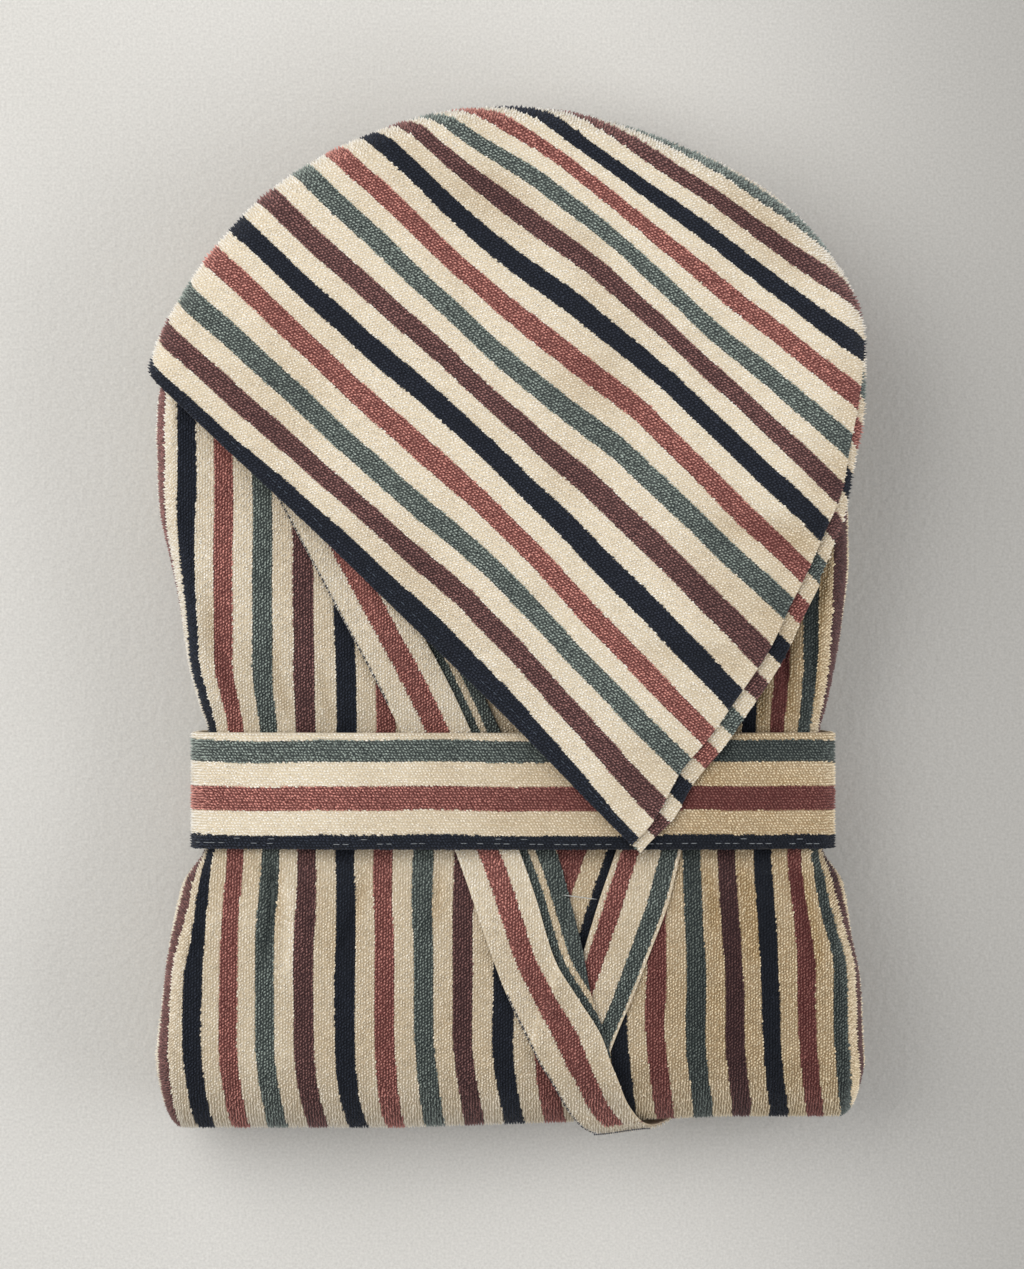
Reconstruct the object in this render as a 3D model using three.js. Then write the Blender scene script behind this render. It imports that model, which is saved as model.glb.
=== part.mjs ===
// A hooded terry dressing gown folded into a flat packet, its tie belt wrapped round the waist and its hood
// laid forward over the top. Millimetres: +X to the wearer's left, +Y towards the hood, +Z up from the
// surface that the packet lies on.
//
// The gown is folded in half across its length, so it is a thick packet bent into a U: the fronts show on
// top, turn round the bottom fold and run back along the underside. Fronts, bands and facings are walls laid
// on that packet by drape(); the hood's two walls are laid on it by drapeHood().
import * as THREE from "three";
import * as BufferGeometryUtils from "three/addons/utils/BufferGeometryUtils.js";

const TERRY = 2.4; // wall of the fronts and the hood
const BAND = 2; // wall of the front bands and facings, pressed flat
const BELT = 4; // the belt is two layers
const GAP = 0.3; // between cloths that lie on each other
const DEG = Math.PI / 180;

// ---------------------------------------------------------------------------------------------- the packet

const FOLD_RADIUS = 33; // of the bottom fold: half the packet's height there
const FOLD_Y = -184; // where the top starts to turn down into the bottom fold
const MIDDLE = 31; // height of the slit between the two folded halves, away from the bottom fold
const EDGE_WIDTH = 9; // how far in from the side the top starts to round down
const CROWN = 3; // how much lower the top is at the sides than along the middle
const HALF_WIDTH = 150;
const FRONT_TOP_Y = 105; // the fronts end here, under the hood
const WRAP_TURN = 125 * DEG; // how far the fronts turn in round each side edge

const BELT_TOP_Y = -47.2;
const BELT_BOTTOM_Y = -96.9;
const BELT_RIGHT_X = -136.9; // outer faces of the belt at the packet's sides
const BELT_LEFT_X = 139.9;
const BELT_CORNER = 12; // radius of its bends round the sides
const BELT_OVER_FRONTS = 1.4; // between the fronts' top and the belt where no band lies between them
const CHANNEL_LOW = BELT_BOTTOM_Y - 1; // sides of the channel that takes the belt on the underside
const CHANNEL_HIGH = BELT_TOP_Y + 1;
const BELT_SLOPE = 5; // length of the ramps into it

// Height of the top along the middle of the packet; the belt pinches it.
const TOP_HEIGHTS = [
  { y: 200, z: 60 },
  { y: 110, z: 62 },
  { y: 60, z: 62.5 },
  { y: 0, z: 61 },
  { y: -32, z: 55.5 },
  { y: -47, z: 50.5 },
  { y: -72, z: 49.5 },
  { y: -97, z: 50.5 },
  { y: -112, z: 57.5 },
  { y: -130, z: 63 },
  { y: -155, z: 65.5 },
  { y: -184, z: 66 },
];

// Half widths of the packet to the wearer's right and left, pinched at the waist.
const SIDE_EDGES = [
  { y: 105, right: 148.2, left: 148 },
  { y: 95, right: 150.3, left: 148 },
  { y: 80, right: 151, left: 146.5 },
  { y: 58, right: 150.5, left: 144 },
  { y: 45, right: 149.3, left: 145 },
  { y: 26, right: 145, left: 145 },
  { y: 5, right: 141, left: 143 },
  { y: -16, right: 138, left: 140 },
  { y: -38, right: 132.6, left: 135.7 },
  { y: -47, right: 129.6, left: 133.2 },
  { y: -72, right: 128.6, left: 131.8 },
  { y: -97, right: 131.2, left: 134.4 },
  { y: -112, right: 140.3, left: 143.4 },
  { y: -134, right: 145, left: 146.5 },
  { y: -155, right: 147.8, left: 149.7 },
  { y: -187, right: 151, left: 151.2 },
  { y: -198, right: 150.5, left: 151.6 },
  { y: -217, right: 148.5, left: 150 },
];

// The bottom fold slants: its edge lies lower on the wearer's right than on the left.
const HEM_SLANT = { fromX: -47, toX: 95, fromShift: -0.9, toShift: 4 };
const HEM_SLANT_FADES = 60; // above the fold this far, the slant is gone
const SLIT_FADES = 80; // above the fold this far, the slit lies at MIDDLE
const CROWN_FADES = 10; // below MIDDLE this far, the crown is gone

// ------------------------------------------------------------------------------------------ bands and hood

// Side lines of the wearer's right band, which lies over the left one. Past FOLD_Y the row is an angle round
// the bottom fold, in degrees.
const RIGHT_BAND = [
  { y: 105, outer: -126, inner: -95 },
  { y: 85, outer: -116, inner: -85 },
  { y: 54, outer: -99, inner: -68 },
  { y: 10, outer: -75.5, inner: -45 },
  { y: -33, outer: -53, inner: -22.5 },
  { y: -97, outer: -23.5, inner: 4 },
  { y: -117, outer: -16, inner: 11.2 },
  { y: -143, outer: -7, inner: 19.2 },
  { y: -160, outer: -0.5, inner: 29 },
  { y: -177, outer: 7.5, inner: 39 },
  { turn: 5, outer: 12.5, inner: 42.5 },
  { turn: 18, outer: 17.5, inner: 46 },
  { turn: 43, outer: 25, inner: 51 },
  { turn: 66, outer: 33, inner: 57 },
  { turn: 90, outer: 42, inner: 64 },
  { turn: 108, outer: 51, inner: 71 },
  { turn: 128, outer: 61, inner: 78 },
  { turn: 140, outer: 66, inner: 82 },
];

// Inner side line of the right band's facing; its outer side is tucked under the band.
const RIGHT_FACING = [
  { y: 60, inner: -54.5 },
  { y: 0, inner: -25.5 },
  { y: -46, inner: -4 },
  { y: -97, inner: 19.8 },
  { y: -117, inner: 25.5 },
  { y: -139, inner: 31 },
  { y: -160, inner: 34.8 },
  { y: -177, inner: 40.6 },
  { turn: 4, inner: 43 },
];
const FACING_TUCK = 7;

// The wearer's left band. It ends under the right one.
const LEFT_BAND = [
  { y: 60, inner: 98, outer: 122 },
  { y: 0, inner: 78, outer: 103.5 },
  { y: -47, inner: 62.5, outer: 89 },
  { y: -97, inner: 45.8, outer: 73.6 },
  { y: -118, inner: 38.2, outer: 68 },
  { y: -139, inner: 31.6, outer: 60.2 },
  { y: -160, inner: 25, outer: 52.4 },
  { y: -177, inner: 19.5, outer: 45.4 },
  { turn: 10, inner: 15.5, outer: 40.6 },
];
const PANEL_TUCK = 9; // how far each front runs in under its band
const CENTRE_X = 33; // where the two fronts meet from the bottom fold on
const FRONTS_MEET = { from: 12, to: -6 }; // above FOLD_Y, where the fronts draw in to CENTRE_X

const BAND_CLIMB = 12; // width of the slope where a strip rises on to another's edge
const BAND_CLIMB_FLAT = 5; // it is at its full height this far before that edge
const CLIMB_TOP = { gone: 14, full: 2 }; // past the lower strip's top end
const CLIMB_TURN = { full: 15, gone: 52 }; // degrees round the bottom fold
const LIP = 3.6; // how far the right band hangs loose from the bottom fold
const LIP_TURNS = { starts: 16, full: 62, falls: 104, ends: 138 };
const LIP_INNER_SHARE = 0.5; // how much less the band's inner side hangs loose

// How much the bands lift the belt that lies on them, and where.
const BANDS_UNDER_BELT = { rise: 4.9, starts: -122, full: -62, falls: 92, ends: 128 };

// Outline of the hood as radii about HOOD_CENTRE, over the side that wraps the top of the packet.
const HOOD_CENTRE = { x: 0, y: 65 };
const HOOD_RADII = [
  { angle: -20, radius: 149 },
  { angle: -3, radius: 150.3 },
  { angle: 2, radius: 152.5 },
  { angle: 8, radius: 157.6 },
  { angle: 14, radius: 160.2 },
  { angle: 20, radius: 163.2 },
  { angle: 28, radius: 165.2 },
  { angle: 37, radius: 164.6 },
  { angle: 47, radius: 162.4 },
  { angle: 55, radius: 159 },
  { angle: 65, radius: 155.4 },
  { angle: 78, radius: 153.8 },
  { angle: 95, radius: 154.8 },
  { angle: 115, radius: 155.2 },
  { angle: 130, radius: 156 },
  { angle: 145, radius: 157.6 },
  { angle: 160, radius: 159.4 },
  { angle: 175, radius: 160.5 },
  { angle: 200, radius: 160.5 },
];
const HOOD_CORNER = { x: -153.4, y: 105.1 }; // the top end of the hood's front edge
const HOOD_TIP = { x: 55, y: -97.8 };
const HOOD_EDGE_RADIUS = 8; // inside the two layers, where they turn down over the packet's end
const HOOD_DROP = 62; // cloth from the start of that turn to the hood's lower edge
const SEAM_STRIP = 7.5; // how far the left half shows beyond the seam

// The crown seam: how far along the front edge's direction it lies, by distance from the front edge.
const HOOD_SEAM = [
  { out: 0, along: 290.8 },
  { out: 19, along: 286.6 },
  { out: 40, along: 281 },
  { out: 55, along: 280 },
  { out: 75, along: 276.8 },
  { out: 98, along: 272.6 },
  { out: 120, along: 265.2 },
  { out: 134, along: 260.8 },
  { out: 153, along: 253.7 },
  { out: 168, along: 247.8 },
  { out: 186, along: 236 },
  { out: 204, along: 224.4 },
  { out: 228, along: 206 },
  { out: 250, along: 186 },
  { out: 275, along: 158 },
  { out: 300, along: 120 },
];

// Height of the underside of the hood's lower layer along the middle.
const HOOD_HEIGHTS = [
  { y: 225, z: 61.5 },
  { y: 120, z: 65 },
  { y: 50, z: 68 },
  { y: 0, z: 67.5 },
  { y: -25, z: 65.5 },
  { y: -47, z: 62.6 },
  { y: -72, z: 60.6 },
  { y: -105, z: 60.4 },
];

// Soft swells of the hood where the cloth doesn't lie quite flat.
const HOOD_SWELLS = [
  { x: 70, y: 140, reach: 55, rise: 2.2 },
  { x: -70, y: 120, reach: 60, rise: 1.4 },
  { x: 35, y: 30, reach: 50, rise: 1.6 },
];

// ------------------------------------------------------------------------------------------- small helpers

const clamp = (value, low, high) => Math.min(high, Math.max(low, value));

function smooth(from, to, value) {
  const t = clamp((value - from) / (to - from), 0, 1);
  return t * t * (3 - 2 * t);
}

// A smooth line through a table's rows: the value of one column at any value of another.
function through(rows, key, column) {
  const sorted = [...rows].sort((a, b) => a[key] - b[key]);
  const at = sorted.map((row) => row[key]);
  const value = sorted.map((row) => row[column]);
  const last = at.length - 1;
  const rise = (i) => (value[i + 1] - value[i]) / (at[i + 1] - at[i]);
  const slope = at.map((_, i) => {
    if (i === 0) return rise(0);
    if (i === last) return rise(last - 1);
    const before = rise(i - 1);
    const after = rise(i);
    return before * after <= 0 ? 0 : (2 * before * after) / (before + after);
  });
  return (where) => {
    const x = clamp(where, at[0], at[last]);
    let i = 0;
    while (i < last - 1 && x > at[i + 1]) i += 1;
    const span = at[i + 1] - at[i];
    const t = (x - at[i]) / span;
    const rest = 1 - t;
    return (
      value[i] * rest * rest * (1 + 2 * t) +
      slope[i] * span * t * rest * rest +
      value[i + 1] * t * t * (3 - 2 * t) -
      slope[i + 1] * span * t * t * rest
    );
  };
}

// The length coordinate that drape() takes: y on top, and past FOLD_Y the way round the bottom fold.
const foldLength = (turn) => FOLD_Y - FOLD_RADIUS * turn * DEG;
const underLength = (y) => FOLD_Y - Math.PI * FOLD_RADIUS - (y - FOLD_Y);
const along = (row) => ("turn" in row ? foldLength(row.turn) : row.y);
const withLength = (rows) => rows.map((row) => ({ ...row, s: along(row) }));

function spread(from, to, steps) {
  return Array.from({ length: steps + 1 }, (_, i) => from + ((to - from) * i) / steps);
}

// The furthest value on the way from one number to another that is still inside, found by halving.
function furthest(inside, from, to) {
  const HALVINGS = 26;
  let near = from;
  let far = to;
  for (let i = 0; i < HALVINGS; i += 1) {
    const between = (near + far) / 2;
    if (inside(between)) near = between;
    else far = between;
  }
  return near;
}

// ------------------------------------------------------------------------------------------- laying cloth

const topHeight = through(TOP_HEIGHTS, "y", "z");
const rightEdge = through(SIDE_EDGES, "y", "right");
const leftEdge = through(SIDE_EDGES, "y", "left");
const hoodRadius = through(HOOD_RADII, "angle", "radius");
const hoodHeight = through(HOOD_HEIGHTS, "y", "z");
const seamAlong = through(HOOD_SEAM, "out", "along");

const HOOD_LAYERS = 2 * TERRY + GAP;
const END_CLEARANCE = HOOD_LAYERS + 2.4; // from the hood's outline in to the packet's rounded end
const END_Y = 209;
const END_ROUND = 14; // radius of the packet's edge there
const END_FACE = 2; // the rounding would go on this far past END_Y, so that a narrow face is left

// Half width of the packet's rounded top end, where it follows the hood's outline.
function endHalfWidth(y, side) {
  const inside = (x) => {
    const angle = Math.atan2(y - HOOD_CENTRE.y, side * x) / DEG;
    return Math.hypot(x, y - HOOD_CENTRE.y) < hoodRadius(angle) - END_CLEARANCE;
  };
  return furthest(inside, 0, HALF_WIDTH + 20);
}

function hemShift(x, y) {
  const across = clamp((x - HEM_SLANT.fromX) / (HEM_SLANT.toX - HEM_SLANT.fromX), 0, 1);
  const shift = HEM_SLANT.fromShift + (HEM_SLANT.toShift - HEM_SLANT.fromShift) * across;
  return shift * (1 - smooth(FOLD_Y, FOLD_Y + HEM_SLANT_FADES, y));
}

function sideEdge(y, side) {
  if (y > FRONT_TOP_Y) return endHalfWidth(y, side);
  return side < 0 ? rightEdge(y) : leftEdge(y);
}

// How far the top has come down, and the underside up, at the packet's rounded end.
function endRounding(y) {
  const share = clamp((y - (END_Y + END_FACE - END_ROUND)) / END_ROUND, 0, 1);
  return END_ROUND * (1 - Math.sqrt(1 - share * share));
}

// Depth of the belt's channel on the underside.
function channel(y) {
  const lowRamp = smooth(CHANNEL_LOW - BELT_SLOPE, CHANNEL_LOW, y);
  const highRamp = smooth(CHANNEL_HIGH + BELT_SLOPE, CHANNEL_HIGH, y);
  return (BELT + GAP) * lowRamp * highRamp;
}

// Where the packet's outer face runs at the length s: down the top, round the bottom fold, back underneath.
function spine(s) {
  const turned = (FOLD_Y - s) / FOLD_RADIUS;
  if (turned > 0 && turned < Math.PI) {
    return {
      y: FOLD_Y - FOLD_RADIUS * Math.sin(turned),
      z: FOLD_RADIUS * (1 + Math.cos(turned)),
      outY: -Math.sin(turned),
      outZ: Math.cos(turned),
      half: FOLD_RADIUS / 2,
    };
  }
  const under = turned >= Math.PI;
  const y = under ? FOLD_Y + (FOLD_Y - Math.PI * FOLD_RADIUS - s) : s;
  const top = topHeight(y) - endRounding(y);
  const bottom = channel(y) + endRounding(y);
  const middle = MIDDLE + (FOLD_RADIUS - MIDDLE) * smooth(FOLD_Y + SLIT_FADES, FOLD_Y, y);
  return {
    y,
    z: under ? bottom : top,
    outY: 0,
    outZ: under ? -1 : 1,
    half: (under ? middle - bottom : top - middle) / 2,
  };
}

// The point of a cloth laid on the packet: x across it as if flat, s along it, lift off its outer face.
function drape(x, s, lift) {
  const at = spine(s);
  const side = x < 0 ? -1 : 1;
  const edge = sideEdge(at.y, side);
  const start = edge - EDGE_WIDTH;
  const over = Math.abs(x) - start;
  let across = Math.abs(x);
  let out = lift;
  if (over > 0) {
    const turn = (2 * over) / (EDGE_WIDTH + at.half);
    across = start + (EDGE_WIDTH + lift) * Math.sin(turn);
    out = (at.half + lift) * Math.cos(turn) - at.half;
  }
  const onTop = Math.max(at.outZ, 0) * smooth(MIDDLE - CROWN_FADES, MIDDLE, at.z + out);
  const crown = CROWN * (across / HALF_WIDTH) ** 2 * onTop;
  const shift = hemShift(side * across, at.y);
  return new THREE.Vector3(side * across, at.y + at.outY * out + shift, at.z + at.outZ * out - crown);
}

// The flat coordinate across the packet at which a side edge has turned by that angle.
function turnedX(s, side, turn) {
  const at = spine(s);
  return side * (sideEdge(at.y, side) - EDGE_WIDTH + (turn * (EDGE_WIDTH + at.half)) / 2);
}

const FRONT_EDGE = new THREE.Vector2(HOOD_TIP.x - HOOD_CORNER.x, HOOD_TIP.y - HOOD_CORNER.y).normalize();

function hoodFlat(alongEdge, out) {
  return {
    x: HOOD_CORNER.x + FRONT_EDGE.x * alongEdge - FRONT_EDGE.y * out,
    y: HOOD_CORNER.y + FRONT_EDGE.y * alongEdge + FRONT_EDGE.x * out,
  };
}

// A flat point's angle about the hood's centre, from -90 to 270 degrees.
function hoodAngle(flat) {
  const angle = Math.atan2(flat.y - HOOD_CENTRE.y, flat.x - HOOD_CENTRE.x) / DEG;
  return angle < -90 ? angle + 360 : angle;
}

// How far inside the hood's lower layer's outline a flat point lies.
function hoodInset(flat) {
  const distance = Math.hypot(flat.x - HOOD_CENTRE.x, flat.y - HOOD_CENTRE.y);
  return hoodRadius(hoodAngle(flat)) - HOOD_LAYERS - distance;
}

const hoodSwell = ({ x, y }) =>
  HOOD_SWELLS.reduce((sum, swell) => {
    const distance = Math.hypot(x - swell.x, y - swell.y) / swell.reach;
    return sum + swell.rise * (1 - smooth(0, 1, distance));
  }, 0);

// The point of a hood layer: flat on top, turned down round the packet's end, then hanging straight.
function drapeHood(alongEdge, out, lift) {
  const flat = hoodFlat(alongEdge, out);
  const angle = hoodAngle(flat);
  const over = HOOD_EDGE_RADIUS - hoodInset(flat);
  const wraps = angle > HOOD_RADII[0].angle && angle < HOOD_RADII.at(-1).angle;
  const top = hoodHeight(flat.y) - CROWN * (flat.x / HALF_WIDTH) ** 2 + hoodSwell(flat);
  if (over <= 0 || !wraps) return new THREE.Vector3(flat.x, flat.y, top + lift);
  const bend = HOOD_EDGE_RADIUS + HOOD_LAYERS / 2;
  const turn = Math.min(over / bend, Math.PI / 2);
  const hang = Math.max(0, over - (bend * Math.PI) / 2);
  const radius =
    hoodRadius(angle) - HOOD_LAYERS - HOOD_EDGE_RADIUS + (HOOD_EDGE_RADIUS + lift) * Math.sin(turn);
  return new THREE.Vector3(
    HOOD_CENTRE.x + radius * Math.cos(angle * DEG),
    HOOD_CENTRE.y + radius * Math.sin(angle * DEG),
    top - HOOD_EDGE_RADIUS + (HOOD_EDGE_RADIUS + lift) * Math.cos(turn) - hang,
  );
}

// ------------------------------------------------------------------------------------------ solids

function meshOf(name, positions, indices, colour) {
  const raw = new THREE.BufferGeometry();
  raw.setAttribute("position", new THREE.Float32BufferAttribute(positions, 3));
  raw.setIndex(indices);
  const geometry = BufferGeometryUtils.mergeVertices(raw, 1e-3);
  geometry.computeVertexNormals();
  const material = new THREE.MeshStandardMaterial({ color: colour, roughness: 1, metalness: 0 });
  const mesh = new THREE.Mesh(geometry, material);
  mesh.name = name;
  return mesh;
}

// A cloth wall: an outer and an inner grid of the same rows and columns, joined round the rim.
function wall(name, colour, outer, inner) {
  const rows = outer.length;
  const columns = outer[0].length;
  const positions = [outer, inner].flat(2).flatMap((p) => [p.x, p.y, p.z]);
  const outside = (i, j) => i * columns + j;
  const inside = (i, j) => rows * columns + outside(i, j);
  const indices = [];
  const face = (a, b, c, d) => indices.push(a, b, c, a, c, d);
  for (let i = 0; i < rows - 1; i += 1) {
    for (let j = 0; j < columns - 1; j += 1) {
      face(outside(i, j), outside(i + 1, j), outside(i + 1, j + 1), outside(i, j + 1));
      face(inside(i, j), inside(i, j + 1), inside(i + 1, j + 1), inside(i + 1, j));
    }
  }
  for (let i = 0; i < rows - 1; i += 1) {
    const last = columns - 1;
    face(outside(i, 0), inside(i, 0), inside(i + 1, 0), outside(i + 1, 0));
    face(outside(i + 1, last), inside(i + 1, last), inside(i, last), outside(i, last));
  }
  for (let j = 0; j < columns - 1; j += 1) {
    const last = rows - 1;
    face(outside(0, j + 1), inside(0, j + 1), inside(0, j), outside(0, j));
    face(outside(last, j), inside(last, j), inside(last, j + 1), outside(last, j + 1));
  }
  return meshOf(name, positions, facingOut(positions, indices), colour);
}

// A solid swept through closed rings of points, capped at both ends or joined end to end.
function sweep(name, colour, rings, closed) {
  const size = rings[0].length;
  const positions = rings.flat().flatMap((p) => [p.x, p.y, p.z]);
  const indices = [];
  const last = closed ? rings.length : rings.length - 1;
  for (let i = 0; i < last; i += 1) {
    const next = (i + 1) % rings.length;
    for (let j = 0; j < size; j += 1) {
      const k = (j + 1) % size;
      indices.push(i * size + j, next * size + j, next * size + k);
      indices.push(i * size + j, next * size + k, i * size + k);
    }
  }
  if (!closed) {
    capEnd(rings[0], 0, indices, false);
    capEnd(rings.at(-1), (rings.length - 1) * size, indices, true);
  }
  return meshOf(name, positions, facingOut(positions, indices), colour);
}

// Fills an end ring, which is a plane outline in x and z, with faces that run along or against its order.
function capEnd(ring, offset, indices, against) {
  const outline = ring.map((p) => new THREE.Vector2(p.x, p.z));
  const faces = THREE.ShapeUtils.triangulateShape(outline, []);
  const step = (a, b) => b === (a + 1) % ring.length;
  const runsAlong = faces.some(([a, b, c]) => step(a, b) || step(b, c) || step(c, a));
  faces.forEach(([a, b, c]) => {
    const corners = runsAlong === against ? [a, c, b] : [a, b, c];
    indices.push(...corners.map((corner) => corner + offset));
  });
}

// Turns all faces round if they enclose a negative volume.
function facingOut(positions, indices) {
  const corner = (i) => new THREE.Vector3().fromArray(positions, 3 * indices[i]);
  let volume = 0;
  for (let i = 0; i < indices.length; i += 3) {
    volume += corner(i).dot(corner(i + 1).cross(corner(i + 2)));
  }
  if (volume > 0) return indices;
  const turned = [];
  for (let i = 0; i < indices.length; i += 3) turned.push(indices[i], indices[i + 2], indices[i + 1]);
  return turned;
}

// ------------------------------------------------------------------------------------------ the pieces

const rightBandRows = withLength(RIGHT_BAND);
const rightFacingRows = withLength(RIGHT_FACING);
const leftBandRows = withLength(LEFT_BAND);
const rightBandOuter = through(rightBandRows, "s", "outer");
const rightBandInner = through(rightBandRows, "s", "inner");
const rightFacingInner = through(rightFacingRows, "s", "inner");
const leftBandInner = through(leftBandRows, "s", "inner");
const leftBandOuter = through(leftBandRows, "s", "outer");

// Rows shared by the fronts and the hidden layers, so that their facets run alongside each other.
const CHEST_ROWS = [105, 80, 52, 26, 5, -12, -24, -34, -42, -50];
const WAIST_ROWS = [-72, -94, -101, -108, -116];
const SKIRT_ROWS = [-128, -143, -153, -163, -173, FOLD_Y];
const TOP_ROWS = [...CHEST_ROWS, ...WAIST_ROWS, ...SKIRT_ROWS];
const FOLD_TURNS = spread(22.5, 157.5, 6);
const CHANNEL_ROWS = [CHANNEL_LOW - BELT_SLOPE, CHANNEL_LOW, -72, CHANNEL_HIGH, CHANNEL_HIGH + BELT_SLOPE];
const UNDER_ROWS = [FOLD_Y, -140, -105, ...CHANNEL_ROWS, -20, 30, 80, FRONT_TOP_Y];
const END_ROWS = [122, 142, 162, 178, 190, 198, 204, 207, END_Y];

const frontLengths = [...TOP_ROWS, ...FOLD_TURNS.map(foldLength), ...UNDER_ROWS.map(underLength)];

// Where each front ends under its band, and where the two meet from the bottom fold on.
function frontInnerX(s, side) {
  const meets = smooth(FOLD_Y + FRONTS_MEET.from, FOLD_Y + FRONTS_MEET.to, s);
  if (side < 0) {
    const tucked = rightBandOuter(s) + PANEL_TUCK;
    return tucked + (CENTRE_X - GAP - tucked) * meets;
  }
  const tucked = leftBandOuter(s) - PANEL_TUCK;
  return tucked + (CENTRE_X - tucked) * meets;
}

const FLAT_COLUMNS = 5;
const WRAP_COLUMNS = 6;

function front(name, colour, side) {
  const layer = (lift) =>
    frontLengths.map((s) => {
      const inner = frontInnerX(s, side);
      const flat = spread(inner, turnedX(s, side, 0), FLAT_COLUMNS).slice(0, -1);
      const wrap = spread(0, WRAP_TURN, WRAP_COLUMNS).map((turn) => turnedX(s, side, turn));
      return [...flat, ...wrap].map((x) => drape(x, s, lift));
    });
  return wall(name, colour, layer(0), layer(-TERRY));
}

// A strip laid on the fronts between two side lines, with its lift given across and along it.
function strip(name, colour, { lengths, from, to, lift, thickness, columns }) {
  const layer = (extra) =>
    lengths.map((s) =>
      spread(from(s), to(s), columns).map((x) => drape(x, s, lift(x, s) + extra)),
    );
  return wall(name, colour, layer(thickness), layer(0));
}

// The right band and its facing climb over what lies under them, and the band hangs loose at the bottom fold.
const facingOuter = (s) => rightBandInner(s) - FACING_TUCK;

function climb(x, s, edge, rows) {
  const top = rows[0].s;
  const reach =
    smooth(top + CLIMB_TOP.gone, top + CLIMB_TOP.full, s) *
    smooth(foldLength(CLIMB_TURN.gone), foldLength(CLIMB_TURN.full), s);
  return (BAND + 2 * GAP) * smooth(edge(s) - BAND_CLIMB, edge(s) - BAND_CLIMB_FLAT, x) * reach;
}

function lip(x, s) {
  const loose =
    smooth(foldLength(LIP_TURNS.starts), foldLength(LIP_TURNS.full), s) *
    smooth(foldLength(LIP_TURNS.ends), foldLength(LIP_TURNS.falls), s);
  return LIP * loose * (1 - LIP_INNER_SHARE * smooth(rightBandOuter(s), rightBandInner(s), x));
}

const facingLift = (x, s) => GAP + climb(x, s, leftBandInner, leftBandRows);
const rightBandLift = (x, s) =>
  GAP +
  climb(x, s, leftBandInner, leftBandRows) +
  climb(x, s, facingOuter, rightFacingRows) +
  lip(x, s);

// The shared rows between two lengths, with finer ones round the bottom fold.
function stripLengths(first, last) {
  const fold = spread(0, 140, 14).map(foldLength);
  const shared = [...TOP_ROWS.filter((y) => y > FOLD_Y), ...fold];
  return [first, ...shared.filter((s) => s < first - 1 && s > last + 1), last];
}

const BELT_TOP_COLUMNS = 14;
const BELT_CORNER_STEPS = 5;

function belt() {
  const halfWidth = (BELT_TOP_Y - BELT_BOTTOM_Y) / 2;
  const middleY = (BELT_TOP_Y + BELT_BOTTOM_Y) / 2;
  const edgeSoft = 1.4;
  // The belt's own section: half widths across it by depth from its outer face.
  const section = [
    { across: -1, inset: edgeSoft, depth: 0 },
    { across: -1, inset: 0, depth: edgeSoft },
    { across: -1, inset: 0, depth: BELT - edgeSoft },
    { across: -1, inset: edgeSoft, depth: BELT },
    { across: 1, inset: edgeSoft, depth: BELT },
    { across: 1, inset: 0, depth: BELT - edgeSoft },
    { across: 1, inset: 0, depth: edgeSoft },
    { across: 1, inset: edgeSoft, depth: 0 },
  ];
  const { rise, starts, full, falls, ends } = BANDS_UNDER_BELT;
  const topAt = (x) =>
    topHeight(middleY) -
    CROWN * (x / HALF_WIDTH) ** 2 +
    rise * smooth(starts, full, x) * smooth(ends, falls, x) +
    BELT_OVER_FRONTS +
    BELT;
  const stations = [];
  const corner = (x, z, from) =>
    spread(from, from + 90, BELT_CORNER_STEPS).forEach((angle) => {
      const out = new THREE.Vector2(Math.cos(angle * DEG), Math.sin(angle * DEG));
      stations.push({ x: x + BELT_CORNER * out.x, z: z + BELT_CORNER * out.y, out });
    });
  const left = BELT_LEFT_X - BELT_CORNER;
  const right = BELT_RIGHT_X + BELT_CORNER;
  corner(left, topAt(left) - BELT_CORNER, 0);
  spread(left, right, BELT_TOP_COLUMNS)
    .slice(1, -1)
    .forEach((x) => stations.push({ x, z: topAt(x), out: new THREE.Vector2(0, 1) }));
  corner(right, topAt(right) - BELT_CORNER, 90);
  corner(right, BELT_CORNER, 180);
  corner(left, BELT_CORNER, 270);
  const place = ({ x, z, out }, { across, inset, depth }) =>
    new THREE.Vector3(x - out.x * depth, middleY + across * (halfWidth - inset), z - out.y * depth);
  const rings = stations.map((station) => section.map((corner) => place(station, corner)));
  return sweep("belt", 0xe6dcc3, rings, true);
}

// One half of the hood, in rows parallel to its front edge, each from the wrapped end to the seam. The rows
// are closer where they turn down over the packet's end.
const HOOD_FLAT_ROWS = spread(0, 192, 12);
const HOOD_TURNED_ROWS = [202, 211, 218, 224, 229, 233, 237, 241, 246, 252, 260, 269, 278, 287];
const HOOD_ROWS = [...HOOD_FLAT_ROWS, ...HOOD_TURNED_ROWS];
const HOOD_WIDTH = 300; // longer than any row of the hood
const HOOD_COLUMNS = { left: 6, flat: 8, right: 5 };

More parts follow.
